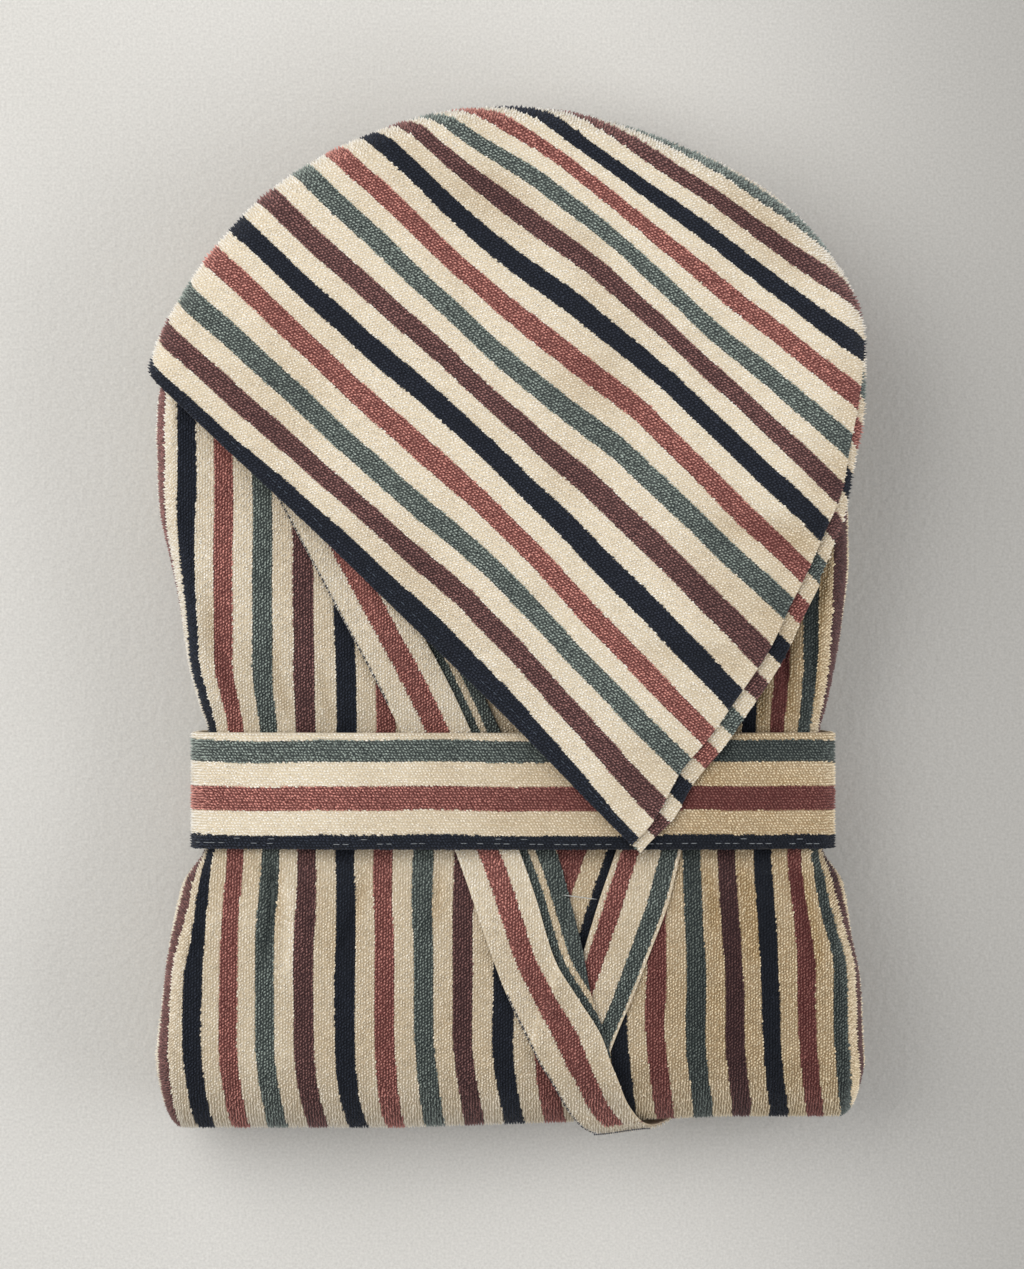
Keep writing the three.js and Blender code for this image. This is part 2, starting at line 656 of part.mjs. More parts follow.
// The places along one row where the columns run.
function hoodRow(out, beyondSeam) {
  const insetAt = (p) => hoodInset(hoodFlat(p, out));
  const innermost = (best, p) => (insetAt(p) > insetAt(best) ? p : best);
  const peak = spread(0, HOOD_WIDTH, HOOD_WIDTH / 5).reduce(innermost);
  const crossing = (inset, side) => furthest((p) => insetAt(p) > inset, peak, peak + side * HOOD_WIDTH);
  const seam = seamAlong(out) + beyondSeam;
  const lowest = HOOD_EDGE_RADIUS - HOOD_DROP;
  const left = spread(lowest, HOOD_EDGE_RADIUS, HOOD_COLUMNS.left).map((inset) => crossing(inset, -1));
  const right = spread(HOOD_EDGE_RADIUS, lowest, HOOD_COLUMNS.right).map((inset) =>
    Math.min(crossing(inset, 1), seam),
  );
  const flat = spread(left.at(-1), right[0], HOOD_COLUMNS.flat).slice(1, -1);
  return [...left, ...flat, ...right];
}

function hood(name, colour, lift, beyondSeam) {
  const layer = (offset) =>
    HOOD_ROWS.map((out) => hoodRow(out, beyondSeam).map((p) => drapeHood(p, out, offset)));
  return wall(name, colour, layer(lift + TERRY), layer(lift));
}

// The layers that don't show, as one rounded solid bent round the bottom fold. Between its turned edge and
// the slit, its sides go out and in again where the inner layers' edges lie.
const HIDDEN_TURN = 112 * DEG;
const HIDDEN_COLUMNS = { flat: 6, turned: 4 };
const COVERED_LIFT = -(TERRY + 1.5 * GAP); // under the fronts
const BARE_LIFT = -0.1; // at the packet's end, under the hood
const BARE_STEP = 3; // past the fronts' end, where it rises from one to the other
const HIDDEN_EDGE = [
  { depth: 0.84, inset: 5.5 },
  { depth: 0.88, inset: 2.8 },
  { depth: 0.94, inset: 2.4 },
  { depth: 0.98, inset: 4.5 },
];

function foldedLayers() {
  const lengths = [
    ...[...END_ROWS].reverse(),
    FRONT_TOP_Y + BARE_STEP,
    ...frontLengths,
    underLength(FRONT_TOP_Y + BARE_STEP),
    ...END_ROWS.map(underLength),
  ];
  const rings = lengths.map((s) => {
    const at = spine(s);
    const lift = at.y < FRONT_TOP_Y + BARE_STEP / 2 ? COVERED_LIFT : BARE_LIFT;
    const edgeX = (side, inset) => side * (sideEdge(at.y, side) - inset);
    const turned = (side) =>
      spread(0, HIDDEN_TURN, HIDDEN_COLUMNS.turned).map((turn) => drape(turnedX(s, side, turn), s, lift));
    const edges = (side) =>
      HIDDEN_EDGE.map(({ depth, inset }) => insidePoint(s, edgeX(side, inset), depth * 2 * at.half));
    const across = spread(turnedX(s, -1, 0), turnedX(s, 1, 0), HIDDEN_COLUMNS.flat).slice(1, -1);
    const outerFace = across.map((x) => drape(x, s, lift));
    const innerFace = [...across].reverse().map((x) => insidePoint(s, x, 2 * at.half - GAP));
    const leftSide = [...turned(1), ...edges(1)];
    const rightSide = [...turned(-1), ...edges(-1)].reverse();
    return [...outerFace, ...leftSide, ...innerFace, ...rightSide];
  });
  return sweep("folded_layers", 0xd8c8a4, rings, false);
}

// A point inside the packet, at a depth below its outer face.
function insidePoint(s, x, depth) {
  const at = spine(s);
  return new THREE.Vector3(x, at.y - at.outY * depth + hemShift(x, at.y), at.z - at.outZ * depth);
}

// The left facing shows through the opening between the fronts, in their plane.
const LEFT_FACING = {
  lengths: stripLengths(26, FOLD_Y),
  from: (s) => frontInnerX(s, -1) + GAP,
  to: (s) => frontInnerX(s, 1) - GAP,
  lift: () => -TERRY,
  thickness: TERRY,
  columns: 4,
};
const LEFT_BAND_STRIP = {
  lengths: stripLengths(52, foldLength(10)),
  from: leftBandInner,
  to: leftBandOuter,
  lift: () => GAP,
  thickness: BAND,
  columns: 4,
};
const RIGHT_FACING_STRIP = {
  lengths: stripLengths(52, foldLength(4)),
  from: facingOuter,
  to: rightFacingInner,
  lift: facingLift,
  thickness: BAND,
  columns: 6,
};
const RIGHT_BAND_STRIP = {
  lengths: stripLengths(FRONT_TOP_Y, foldLength(140)),
  from: rightBandOuter,
  to: rightBandInner,
  lift: rightBandLift,
  thickness: BAND,
  columns: 9,
};

const gown = new THREE.Group();
gown.add(foldedLayers());
gown.add(front("right_front", 0x9b5850, -1));
gown.add(front("left_front", 0x55645f, 1));
gown.add(strip("left_facing", 0x6e4444, LEFT_FACING));
gown.add(strip("left_band", 0x9b5850, LEFT_BAND_STRIP));
gown.add(strip("right_facing", 0x55645f, RIGHT_FACING_STRIP));
gown.add(strip("right_band", 0xe6dcc3, RIGHT_BAND_STRIP));
gown.add(belt());
gown.add(hood("hood_left_half", 0x64403f, 0, SEAM_STRIP));
gown.add(hood("hood_right_half", 0x1e2a37, TERRY + GAP, 0));

// The origin is under the middle of the packet, on the surface it lies on.
const bounds = new THREE.Box3().setFromObject(gown);
const centre = bounds.getCenter(new THREE.Vector3());
gown.position.set(-centre.x, -centre.y, -bounds.min.z);

export default gown;
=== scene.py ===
"""A hooded terry dressing gown, striped in maroon, navy, rose and green on cream, folded into a flat packet.

Every cloth is laid on the packet by the same functions and sizes as its solid, in millimetres: drape() for
the fronts, bands, facings and hidden layers, around() for the belt and drape_hood() for the hood. On each one
that shows stands its terry pile, as joined loops set in wales and courses, and sewing where it is sewn.
"""
import math
from dataclasses import dataclass, field
from typing import Callable

import bpy
import numpy as np
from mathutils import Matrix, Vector


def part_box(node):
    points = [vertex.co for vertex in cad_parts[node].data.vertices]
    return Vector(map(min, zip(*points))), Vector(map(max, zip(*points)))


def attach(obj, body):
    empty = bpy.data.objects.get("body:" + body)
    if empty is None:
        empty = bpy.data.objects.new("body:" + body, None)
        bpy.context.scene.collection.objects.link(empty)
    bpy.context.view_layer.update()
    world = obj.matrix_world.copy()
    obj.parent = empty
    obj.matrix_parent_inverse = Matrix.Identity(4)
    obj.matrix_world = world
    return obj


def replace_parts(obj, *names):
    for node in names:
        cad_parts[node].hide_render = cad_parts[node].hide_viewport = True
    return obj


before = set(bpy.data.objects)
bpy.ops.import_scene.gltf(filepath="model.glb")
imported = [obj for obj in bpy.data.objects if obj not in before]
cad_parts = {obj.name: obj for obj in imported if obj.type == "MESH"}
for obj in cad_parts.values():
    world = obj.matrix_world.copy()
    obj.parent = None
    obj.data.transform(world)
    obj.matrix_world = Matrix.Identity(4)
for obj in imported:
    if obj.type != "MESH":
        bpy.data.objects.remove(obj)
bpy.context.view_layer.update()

MM = 0.001
DEG = math.pi / 180
RANDOM = np.random.default_rng(7)

# ---- the packet's sizes

TERRY = 2.4
BAND = 2.0
BELT = 4.0
GAP = 0.3
PILE = 1.0  # depth of the terry's pile, which the solids' walls include

FOLD_RADIUS = 33
FOLD_Y = -184
MIDDLE = 31
EDGE_WIDTH = 9
CROWN = 3
HALF_WIDTH = 150
FRONT_TOP_Y = 105
WRAP_TURN = 125 * DEG

BELT_TOP_Y = -47.2
BELT_BOTTOM_Y = -96.9
BELT_RIGHT_X = -136.9
BELT_LEFT_X = 139.9
BELT_CORNER = 12
BELT_OVER_FRONTS = 1.4
CHANNEL_LOW = BELT_BOTTOM_Y - 1
CHANNEL_HIGH = BELT_TOP_Y + 1
BELT_SLOPE = 5
BANDS_UNDER_BELT = {"rise": 4.9, "starts": -122, "full": -62, "falls": 92, "ends": 128}

# y, height of the top along the middle
TOP_HEIGHTS = [
    (200, 60), (110, 62), (60, 62.5), (0, 61), (-32, 55.5), (-47, 50.5), (-72, 49.5), (-97, 50.5),
    (-112, 57.5), (-130, 63), (-155, 65.5), (-184, 66),
]
# y, half width to the wearer's right, half width to the left
SIDE_EDGES = [
    (105, 148.2, 148), (95, 150.3, 148), (80, 151, 146.5), (58, 150.5, 144), (45, 149.3, 145), (26, 145, 145),
    (5, 141, 143), (-16, 138, 140), (-38, 132.6, 135.7), (-47, 129.6, 133.2), (-72, 128.6, 131.8),
    (-97, 131.2, 134.4), (-112, 140.3, 143.4), (-134, 145, 146.5), (-155, 147.8, 149.7), (-187, 151, 151.2),
    (-198, 150.5, 151.6), (-217, 148.5, 150),
]
HEM_SLANT = {"from_x": -47, "to_x": 95, "from_shift": -0.9, "to_shift": 4}
HEM_SLANT_FADES = 60
SLIT_FADES = 80
CROWN_FADES = 10
END_Y = 209
END_ROUND = 14
END_FACE = 2

HOOD_CENTRE = (0, 65)
# angle, radius about the hood's centre
HOOD_RADII = [
    (-20, 149), (-3, 150.3), (2, 152.5), (8, 157.6), (14, 160.2), (20, 163.2), (28, 165.2), (37, 164.6),
    (47, 162.4), (55, 159), (65, 155.4), (78, 153.8), (95, 154.8), (115, 155.2), (130, 156), (145, 157.6),
    (160, 159.4), (175, 160.5), (200, 160.5),
]
HOOD_CORNER = (-153.4, 105.1)
HOOD_TIP = (55, -97.8)
HOOD_EDGE_RADIUS = 8
HOOD_DROP = 62
HOOD_LAYERS = 2 * TERRY + GAP
END_CLEARANCE = HOOD_LAYERS + 2.4
HOOD_LAST_ROW = 287
SEAM_STRIP = 7.5
# distance from the front edge, how far along that edge the crown seam lies
HOOD_SEAM = [
    (0, 290.8), (19, 286.6), (40, 281), (55, 280), (75, 276.8), (98, 272.6), (120, 265.2), (134, 260.8),
    (153, 253.7), (168, 247.8), (186, 236), (204, 224.4), (228, 206), (250, 186), (275, 158), (300, 120),
]
# y, height of the hood's underside
HOOD_HEIGHTS = [
    (225, 61.5), (120, 65), (50, 68), (0, 67.5), (-25, 65.5), (-47, 62.6), (-72, 60.6), (-105, 60.4),
]
# x, y, reach, rise
HOOD_SWELLS = [(70, 140, 55, 2.2), (-70, 120, 60, 1.4), (35, 30, 50, 1.6)]


# ---- small helpers


def smooth(start, end, value):
    t = np.clip((value - start) / (end - start), 0, 1)
    return t * t * (3 - 2 * t)


def through(rows, column=1):
    """A smooth line through a table's rows: one column's value at any value of the first."""
    rows = sorted(rows)
    at = np.array([row[0] for row in rows], float)
    value = np.array([row[column] for row in rows], float)
    rise = np.diff(value) / np.diff(at)
    before, after = rise[:-1], rise[1:]
    turns = before * after <= 0
    slope = np.concatenate([rise[:1], np.zeros(len(before)), rise[-1:]])
    slope[1:-1] = np.where(turns, 0, 2 * before * after / np.where(turns, 1, before + after))

    def line(where):
        x = np.clip(where, at[0], at[-1])
        i = np.clip(np.searchsorted(at, x) - 1, 0, len(at) - 2)
        span = at[i + 1] - at[i]
        t = (x - at[i]) / span
        rest = 1 - t
        near = value[i] * rest * rest * (1 + 2 * t) + slope[i] * span * t * rest * rest
        return near + value[i + 1] * t * t * (3 - 2 * t) - slope[i + 1] * span * t * t * rest

    return line


def furthest(inside, start, end, halvings=26):
    """The furthest values on the way from start to end that are still inside, found by halving."""
    near = np.array(start, float)
    far = np.array(end, float)
    for _ in range(halvings):
        between = (near + far) / 2
        good = inside(between)
        near = np.where(good, between, near)
        far = np.where(good, far, between)
    return near


def fold_length(turn):
    return FOLD_Y - FOLD_RADIUS * turn * DEG


def under_length(y):
    return FOLD_Y - math.pi * FOLD_RADIUS - (y - FOLD_Y)


def srgb(red, green, blue):
    """A colour given as it shows on a screen, 0 to 255, as Blender's linear one."""
    return tuple(
        (c / 255 / 12.92) if c < 10.3 else ((c / 255 + 0.055) / 1.055) ** 2.4 for c in (red, green, blue)
    )


# ---- laying cloth

top_height = through(TOP_HEIGHTS)
right_edge = through(SIDE_EDGES, 1)
left_edge = through(SIDE_EDGES, 2)
hood_radius = through(HOOD_RADII)
hood_height = through(HOOD_HEIGHTS)
seam_along = through(HOOD_SEAM)


def end_half_width(y, side):
    def inside(x):
        angle = np.arctan2(y - HOOD_CENTRE[1], side * x) / DEG
        return np.hypot(x, y - HOOD_CENTRE[1]) < hood_radius(angle) - END_CLEARANCE

    return furthest(inside, np.zeros_like(y), np.full_like(y, HALF_WIDTH + 20))


END_PLACES = np.arange(FRONT_TOP_Y, END_Y + END_FACE, 0.5)
RIGHT_END = end_half_width(END_PLACES, -1)
LEFT_END = end_half_width(END_PLACES, 1)


def side_edge(y, side):
    body = np.where(side < 0, right_edge(y), left_edge(y))
    end = np.where(side < 0, np.interp(y, END_PLACES, RIGHT_END), np.interp(y, END_PLACES, LEFT_END))
    return np.where(y > FRONT_TOP_Y, end, body)


def hem_shift(x, y):
    across = np.clip((x - HEM_SLANT["from_x"]) / (HEM_SLANT["to_x"] - HEM_SLANT["from_x"]), 0, 1)
    shift = HEM_SLANT["from_shift"] + (HEM_SLANT["to_shift"] - HEM_SLANT["from_shift"]) * across
    return shift * (1 - smooth(FOLD_Y, FOLD_Y + HEM_SLANT_FADES, y))


def end_rounding(y):
    share = np.clip((y - (END_Y + END_FACE - END_ROUND)) / END_ROUND, 0, 1)
    return END_ROUND * (1 - np.sqrt(1 - share * share))


def channel(y):
    low_ramp = smooth(CHANNEL_LOW - BELT_SLOPE, CHANNEL_LOW, y)
    return (BELT + GAP) * low_ramp * smooth(CHANNEL_HIGH + BELT_SLOPE, CHANNEL_HIGH, y)


def spine(s):
    """Where the packet's outer face runs at the length s: y, z, the way out, and half the layers' height."""
    s = np.asarray(s, float)
    turned = (FOLD_Y - s) / FOLD_RADIUS
    bent = (turned > 0) & (turned < math.pi)
    under = turned >= math.pi
    y = np.where(under, FOLD_Y + (FOLD_Y - math.pi * FOLD_RADIUS - s), s)
    top = top_height(y) - end_rounding(y)
    bottom = channel(y) + end_rounding(y)
    middle = MIDDLE + (FOLD_RADIUS - MIDDLE) * smooth(FOLD_Y + SLIT_FADES, FOLD_Y, y)
    flat_half = np.where(under, middle - bottom, top - middle) / 2
    return (
        np.where(bent, FOLD_Y - FOLD_RADIUS * np.sin(turned), y),
        np.where(bent, FOLD_RADIUS * (1 + np.cos(turned)), np.where(under, bottom, top)),
        np.where(bent, -np.sin(turned), 0),
        np.where(bent, np.cos(turned), np.where(under, -1, 1)),
        np.where(bent, FOLD_RADIUS / 2, flat_half),
    )


def drape(x, s, lift):
    """The point of a cloth laid on the packet: x across as if flat, s along, lift off the outer face."""
    y, z, out_y, out_z, half = spine(s)
    side = np.where(x < 0, -1, 1)
    start = side_edge(y, side) - EDGE_WIDTH
    over = np.abs(x) - start
    turn = np.maximum(2 * over / (EDGE_WIDTH + half), 0)
    across = np.where(over > 0, start + (EDGE_WIDTH + lift) * np.sin(turn), np.abs(x))
    out = np.where(over > 0, (half + lift) * np.cos(turn) - half, lift)
    on_top = np.maximum(out_z, 0) * smooth(MIDDLE - CROWN_FADES, MIDDLE, z + out)
    crown = CROWN * (across / HALF_WIDTH) ** 2 * on_top
    return np.stack(
        [side * across, y + out_y * out + hem_shift(side * across, y), z + out_z * out - crown], axis=-1
    )


def turned_x(s, side, turn):
    """The flat coordinate across the packet at which a side edge has turned by that angle."""
    y, _, _, _, half = spine(s)
    return side * (side_edge(y, side) - EDGE_WIDTH + turn * (EDGE_WIDTH + half) / 2)


EDGE_X, EDGE_Y = np.subtract(HOOD_TIP, HOOD_CORNER) / np.hypot(*np.subtract(HOOD_TIP, HOOD_CORNER))


def hood_flat(along, out):
    return HOOD_CORNER[0] + EDGE_X * along - EDGE_Y * out, HOOD_CORNER[1] + EDGE_Y * along + EDGE_X * out


def hood_angle(x, y):
    angle = np.arctan2(y - HOOD_CENTRE[1], x - HOOD_CENTRE[0]) / DEG
    return np.where(angle < -90, angle + 360, angle)


def hood_inset(along, out):
    x, y = hood_flat(along, out)
    distance = np.hypot(x - HOOD_CENTRE[0], y - HOOD_CENTRE[1])
    return hood_radius(hood_angle(x, y)) - HOOD_LAYERS - distance


def hood_swell(x, y):
    return sum(
        rise * (1 - smooth(0, 1, np.hypot(x - sx, y - sy) / reach)) for sx, sy, reach, rise in HOOD_SWELLS
    )


def drape_hood(along, out, lift):
    """The point of a hood layer: flat on top, turned down round the packet's end, then hanging straight."""
    x, y = hood_flat(along, out)
    angle = hood_angle(x, y)
    over = HOOD_EDGE_RADIUS - hood_inset(along, out)
    wraps = (angle > HOOD_RADII[0][0]) & (angle < HOOD_RADII[-1][0]) & (over > 0)
    top = hood_height(y) - CROWN * (x / HALF_WIDTH) ** 2 + hood_swell(x, y)
    bend = HOOD_EDGE_RADIUS + HOOD_LAYERS / 2
    turn = np.clip(over / bend, 0, math.pi / 2)
    hang = np.maximum(0, over - bend * math.pi / 2)
    radius = hood_radius(angle) - HOOD_LAYERS - HOOD_EDGE_RADIUS + (HOOD_EDGE_RADIUS + lift) * np.sin(turn)
    down = top - HOOD_EDGE_RADIUS + (HOOD_EDGE_RADIUS + lift) * np.cos(turn) - hang
    return np.stack(
        [
            np.where(wraps, HOOD_CENTRE[0] + radius * np.cos(angle * DEG), x),
            np.where(wraps, HOOD_CENTRE[1] + radius * np.sin(angle * DEG), y),
            np.where(wraps, down, top + lift),
        ],
        axis=-1,
    )


# ---- bands and fronts

RIGHT_BAND = [
    (105, -126, -95), (85, -116, -85), (54, -99, -68), (10, -75.5, -45), (-33, -53, -22.5),
    (-97, -23.5, 4), (-117, -16, 11.2), (-143, -7, 19.2), (-160, -0.5, 29), (-177, 7.5, 39),
    (fold_length(5), 12.5, 42.5), (fold_length(18), 17.5, 46), (fold_length(43), 25, 51),
    (fold_length(66), 33, 57), (fold_length(90), 42, 64), (fold_length(108), 51, 71),
    (fold_length(128), 61, 78), (fold_length(140), 66, 82),
]
RIGHT_FACING = [
    (60, -54.5), (0, -25.5), (-46, -4), (-97, 19.8), (-117, 25.5), (-139, 31), (-160, 34.8), (-177, 40.6),
    (fold_length(4), 43),
]
LEFT_BAND = [
    (60, 98, 122), (0, 78, 103.5), (-47, 62.5, 89), (-97, 45.8, 73.6), (-118, 38.2, 68), (-139, 31.6, 60.2),
    (-160, 25, 52.4), (-177, 19.5, 45.4), (fold_length(10), 15.5, 40.6),
]
FACING_TUCK = 7
PANEL_TUCK = 9
CENTRE_X = 33
FRONTS_MEET = (12, -6)
BAND_CLIMB = 12
BAND_CLIMB_FLAT = 5
CLIMB_TOP = {"gone": 14, "full": 2}
CLIMB_TURN = {"full": 15, "gone": 52}
LIP = 3.6
LIP_TURNS = {"starts": 16, "full": 62, "falls": 104, "ends": 138}
LIP_INNER_SHARE = 0.5
STRIPS_TOP_Y = 60  # top end of the facings and the left band

right_band_outer = through(RIGHT_BAND, 1)
right_band_inner = through(RIGHT_BAND, 2)
right_facing_inner = through(RIGHT_FACING, 1)
left_band_inner = through(LEFT_BAND, 1)
left_band_outer = through(LEFT_BAND, 2)


def facing_outer(s):
    return right_band_inner(s) - FACING_TUCK


def front_inner(s, side):
    meets = smooth(FOLD_Y + FRONTS_MEET[0], FOLD_Y + FRONTS_MEET[1], s)
    tucked = right_band_outer(s) + PANEL_TUCK if side < 0 else left_band_outer(s) - PANEL_TUCK
    return tucked + (CENTRE_X + (side * GAP if side < 0 else 0) - tucked) * meets


def climb(x, s, edge, top):
    reach = smooth(top + CLIMB_TOP["gone"], top + CLIMB_TOP["full"], s) * smooth(
        fold_length(CLIMB_TURN["gone"]), fold_length(CLIMB_TURN["full"]), s
    )
    return (BAND + 2 * GAP) * smooth(edge(s) - BAND_CLIMB, edge(s) - BAND_CLIMB_FLAT, x) * reach


def lip(x, s):
    loose = smooth(fold_length(LIP_TURNS["starts"]), fold_length(LIP_TURNS["full"]), s) * smooth(
        fold_length(LIP_TURNS["ends"]), fold_length(LIP_TURNS["falls"]), s
    )
    return LIP * loose * (1 - LIP_INNER_SHARE * smooth(right_band_outer(s), right_band_inner(s), x))


def facing_lift(x, s):
    return GAP + climb(x, s, left_band_inner, STRIPS_TOP_Y)


def right_band_lift(x, s):
    return facing_lift(x, s) + climb(x, s, facing_outer, STRIPS_TOP_Y) + lip(x, s)


# ---- the belt's way round


def belt_top(x):
    part = BANDS_UNDER_BELT
    over_bands = smooth(part["starts"], part["full"], x) * smooth(part["ends"], part["falls"], x)
    crown = CROWN * (x / HALF_WIDTH) ** 2
    middle = (BELT_TOP_Y + BELT_BOTTOM_Y) / 2
    return top_height(middle) - crown + part["rise"] * over_bands + BELT_OVER_FRONTS + BELT


def belt_stations():
    """Points of the belt's outer face round the packet from under its middle, with the way out at each."""
    left, right = BELT_LEFT_X - BELT_CORNER, BELT_RIGHT_X + BELT_CORNER

    def corner(x, z, start):
        angles = np.arange(start, start + 91, 10) * DEG
        out = np.stack([np.cos(angles), np.sin(angles)], axis=-1)
        return [((x, z) + BELT_CORNER * out, out)]

    def run(x, z, out):
        return [(np.stack([x, np.broadcast_to(z, x.shape)], axis=-1), np.broadcast_to(out, (len(x), 2)))]

    top = np.linspace(left, right, 90)[1:-1]
    side = np.linspace(0, 1, 12)[1:-1]
    high_left, high_right = belt_top(left) - BELT_CORNER, belt_top(right) - BELT_CORNER
    parts = [
        *run(np.linspace(0, left, 16)[:-1], 0.0, (0, -1)),
        *corner(left, BELT_CORNER, 270),
        (np.stack([0 * side + BELT_LEFT_X, BELT_CORNER + side * (high_left - BELT_CORNER)], -1), (1, 0)),
        *corner(left, high_left, 0),
        *run(top, belt_top(top), (0, 1)),
        *corner(right, high_right, 90),
        (np.stack([0 * side + BELT_RIGHT_X, high_right + side * (BELT_CORNER - high_right)], -1), (-1, 0)),
        *corner(right, BELT_CORNER, 180),
        *run(np.linspace(right, 0, 16)[1:], 0.0, (0, -1)),
    ]
    points = np.concatenate([p for p, _ in parts])
    outs = np.concatenate([np.broadcast_to(o, p.shape) for p, o in parts])
    return points, outs


BELT_POINTS, BELT_OUTS = belt_stations()
BELT_ROUND = np.concatenate([[0], np.cumsum(np.hypot(*np.diff(BELT_POINTS, axis=0).T))])


def around(length, y, lift):
    """The point of the belt at a length round the packet, lift off its outer face."""
    x, z, out_x, out_z = (
        np.interp(length, BELT_ROUND, column) for column in (*BELT_POINTS.T, *BELT_OUTS.T)
    )
    return np.stack([x + out_x * lift, y + 0 * x, z + out_z * lift], axis=-1)


# ---- stripes
# A stripe coordinate counts coloured stripes: a cloth is coloured within a quarter of each whole number and
# cream between, and the colours follow each other as navy 0, rose 1, green 2, maroon 3, navy 4 and so on.

CREAM = 0.5
STRIPE_PITCH = 15.8
RULER_ENDS = 9  # stripes that a ruler goes on for, past each end


def ruler(first, *centres):
    """A stripe coordinate from the first stripe's number and all centres, carried on at the usual pitch."""
    at = [centres[0] - RULER_ENDS * STRIPE_PITCH, *centres, centres[-1] + RULER_ENDS * STRIPE_PITCH]
    last = first + len(centres) - 1
    number = [first - RULER_ENDS, *range(first, last + 1), last + RULER_ENDS]
    return lambda x: np.interp(x, at, number)


# The fronts' stripes across the skirt, at its pleats, at the waist and across the chest.
RIGHT_SKIRT = ruler(2, -172, -151, -134.4, -119.6, -104, -87.2, -69.6, -53.2, -36.2, -19.7, -2.7, 15, 33)
RIGHT_PLEATED = ruler(2, -154, -138, -130.5, -117.6, -102.3, -87, -69.8, -53.6, -37, -19.7, -2.7, 15, 33)
RIGHT_WAIST = ruler(2, -160, -144, -130, -117.5, -103, -86.6, -69.4, -53, -36, -19.7, -2.7, 15, 33)
RIGHT_CHEST = ruler(2, -174, -154, -137.2, -121.8, -105.2, -87.8, -70, -53, -36, -19.7, -2.7, 15, 33)
LEFT_SKIRT = ruler(0, 46, 62, 79, 95.4, 110.8, 126.4, 141.4, 155, 170)
LEFT_PLEATED = ruler(0, 46, 62, 78, 92.8, 108.2, 122.4, 132.2, 141, 153)
LEFT_WAIST = ruler(0, 34, 54, 74, 90, 102.6, 115, 126.6, 138.5, 165)
LEFT_CHEST = ruler(0, 34, 54, 74, 91, 102.8, 116.2, 127.8, 143, 175)
PLEATS = (-152, -102)  # between these y the stripes draw in from the skirt's places to those at the belt
GATHERS = (-94, -52)  # between these, under the belt, they change to the waist's places
RELEASES = (-50, -16)  # and between these they spread to the chest's
FOLD_LEAN = 4.6  # how far the stripes run to the wearer's left round the bottom fold
FOLD_LEANS = (-174, -232)

# The hood's stripes: each one's distance from the front edge at the stations along it, and at the seam.
HOOD_STRIPES = [
    (0.5, 2.4, 4.1, 6.4, -0.4), (17.9, 19.5, 22.5, 25.6, 19.1), (35, 37, 39.3, 42.5, 40),
    (55.1, 56.4, 58.3, 59.5, 54.1), (71.5, 74.3, 76.9, 77.7, 74.4), (89.2, 91.8, 93.3, 96.7, 96.8),
    (108.3, 108.1, 110, 115.6, 119.3), (123.2, 124.3, 128.1, 133.8, 132.8),
    (139.3, 140.6, 146.7, 151.9, 152.3), (152, 158.5, 164.8, 167.3, 167.3),
    (160.5, 174.3, 179.3, 179.7, 185.4), (173.3, 187.2, 192, 196, 203.4),
    (185.5, 197.1, 205.5, 211.4, 219), (197.8, 209.7, 219, 227, 235), (208, 220, 231, 243, 251),
    (222, 234, 246, 259, 267), (237, 249, 261, 275, 283), (252, 264, 276, 290, 299),
]
HOOD_STATIONS = (-5, 62, 110, 163.5)
SEAM_BLOCKS = {"first": 3, "from": 13.7, "pitch": 17.9}  # the left half's stripes, cut across by the seam
HEM_STRIPE = -0.2  # the hem is navy out to its edge


def front_stripe(skirt, pleated, waist, chest):
    def stripe(x, s):
        x = x + 0.3 * np.sin(s / 17 + x / 11) + 0.2 * np.sin(s / 8 + x / 15)
        x = x - FOLD_LEAN * smooth(*FOLD_LEANS, s)
        y = np.where(s > FOLD_Y, s, FOLD_Y)
        number = skirt(x)
        for level, change in ((pleated, PLEATS), (waist, GATHERS), (chest, RELEASES)):
            number = number + (level(x) - number) * smooth(*change, y)
        return number

    return stripe


def hood_stripe(along, out):
    """Counts the hood's stripes downwards, because their colours follow each other the other way round."""
    shape = along.shape
    along, out = along.ravel(), out.ravel()
    out = out + 0.4 * np.sin(along / 21 + out / 13) + 0.15 * np.sin(along / 7.1 + out / 19 + 1)
    centres = []
    for *places, at_seam in HOOD_STRIPES:
        # The last rows meet the seam before the last station, so it is kept past that one.
        stations = [*HOOD_STATIONS, max(float(seam_along(at_seam)), HOOD_STATIONS[-1] + 1)]
        centres.append(np.interp(along, stations, [*places, at_seam]))
    centres = np.array(centres)
    below = np.clip((centres <= out).sum(axis=0) - 1, 0, len(centres) - 2)
    near = np.take_along_axis(centres, below[None], 0)[0]
    far = np.take_along_axis(centres, below[None] + 1, 0)[0]
    return -np.maximum(below + (out - near) / (far - near), HEM_STRIPE).reshape(shape)


def seam_stripe(along, out):
    return SEAM_BLOCKS["first"] + (out - SEAM_BLOCKS["from"]) / SEAM_BLOCKS["pitch"]


def strip_stripe(*places):
    """A stripe coordinate across a strip, from (place, coordinate) pairs that pass a quarter at each edge."""
    at, number = np.array(places, float).T
    return lambda across: np.interp(across, at, number)


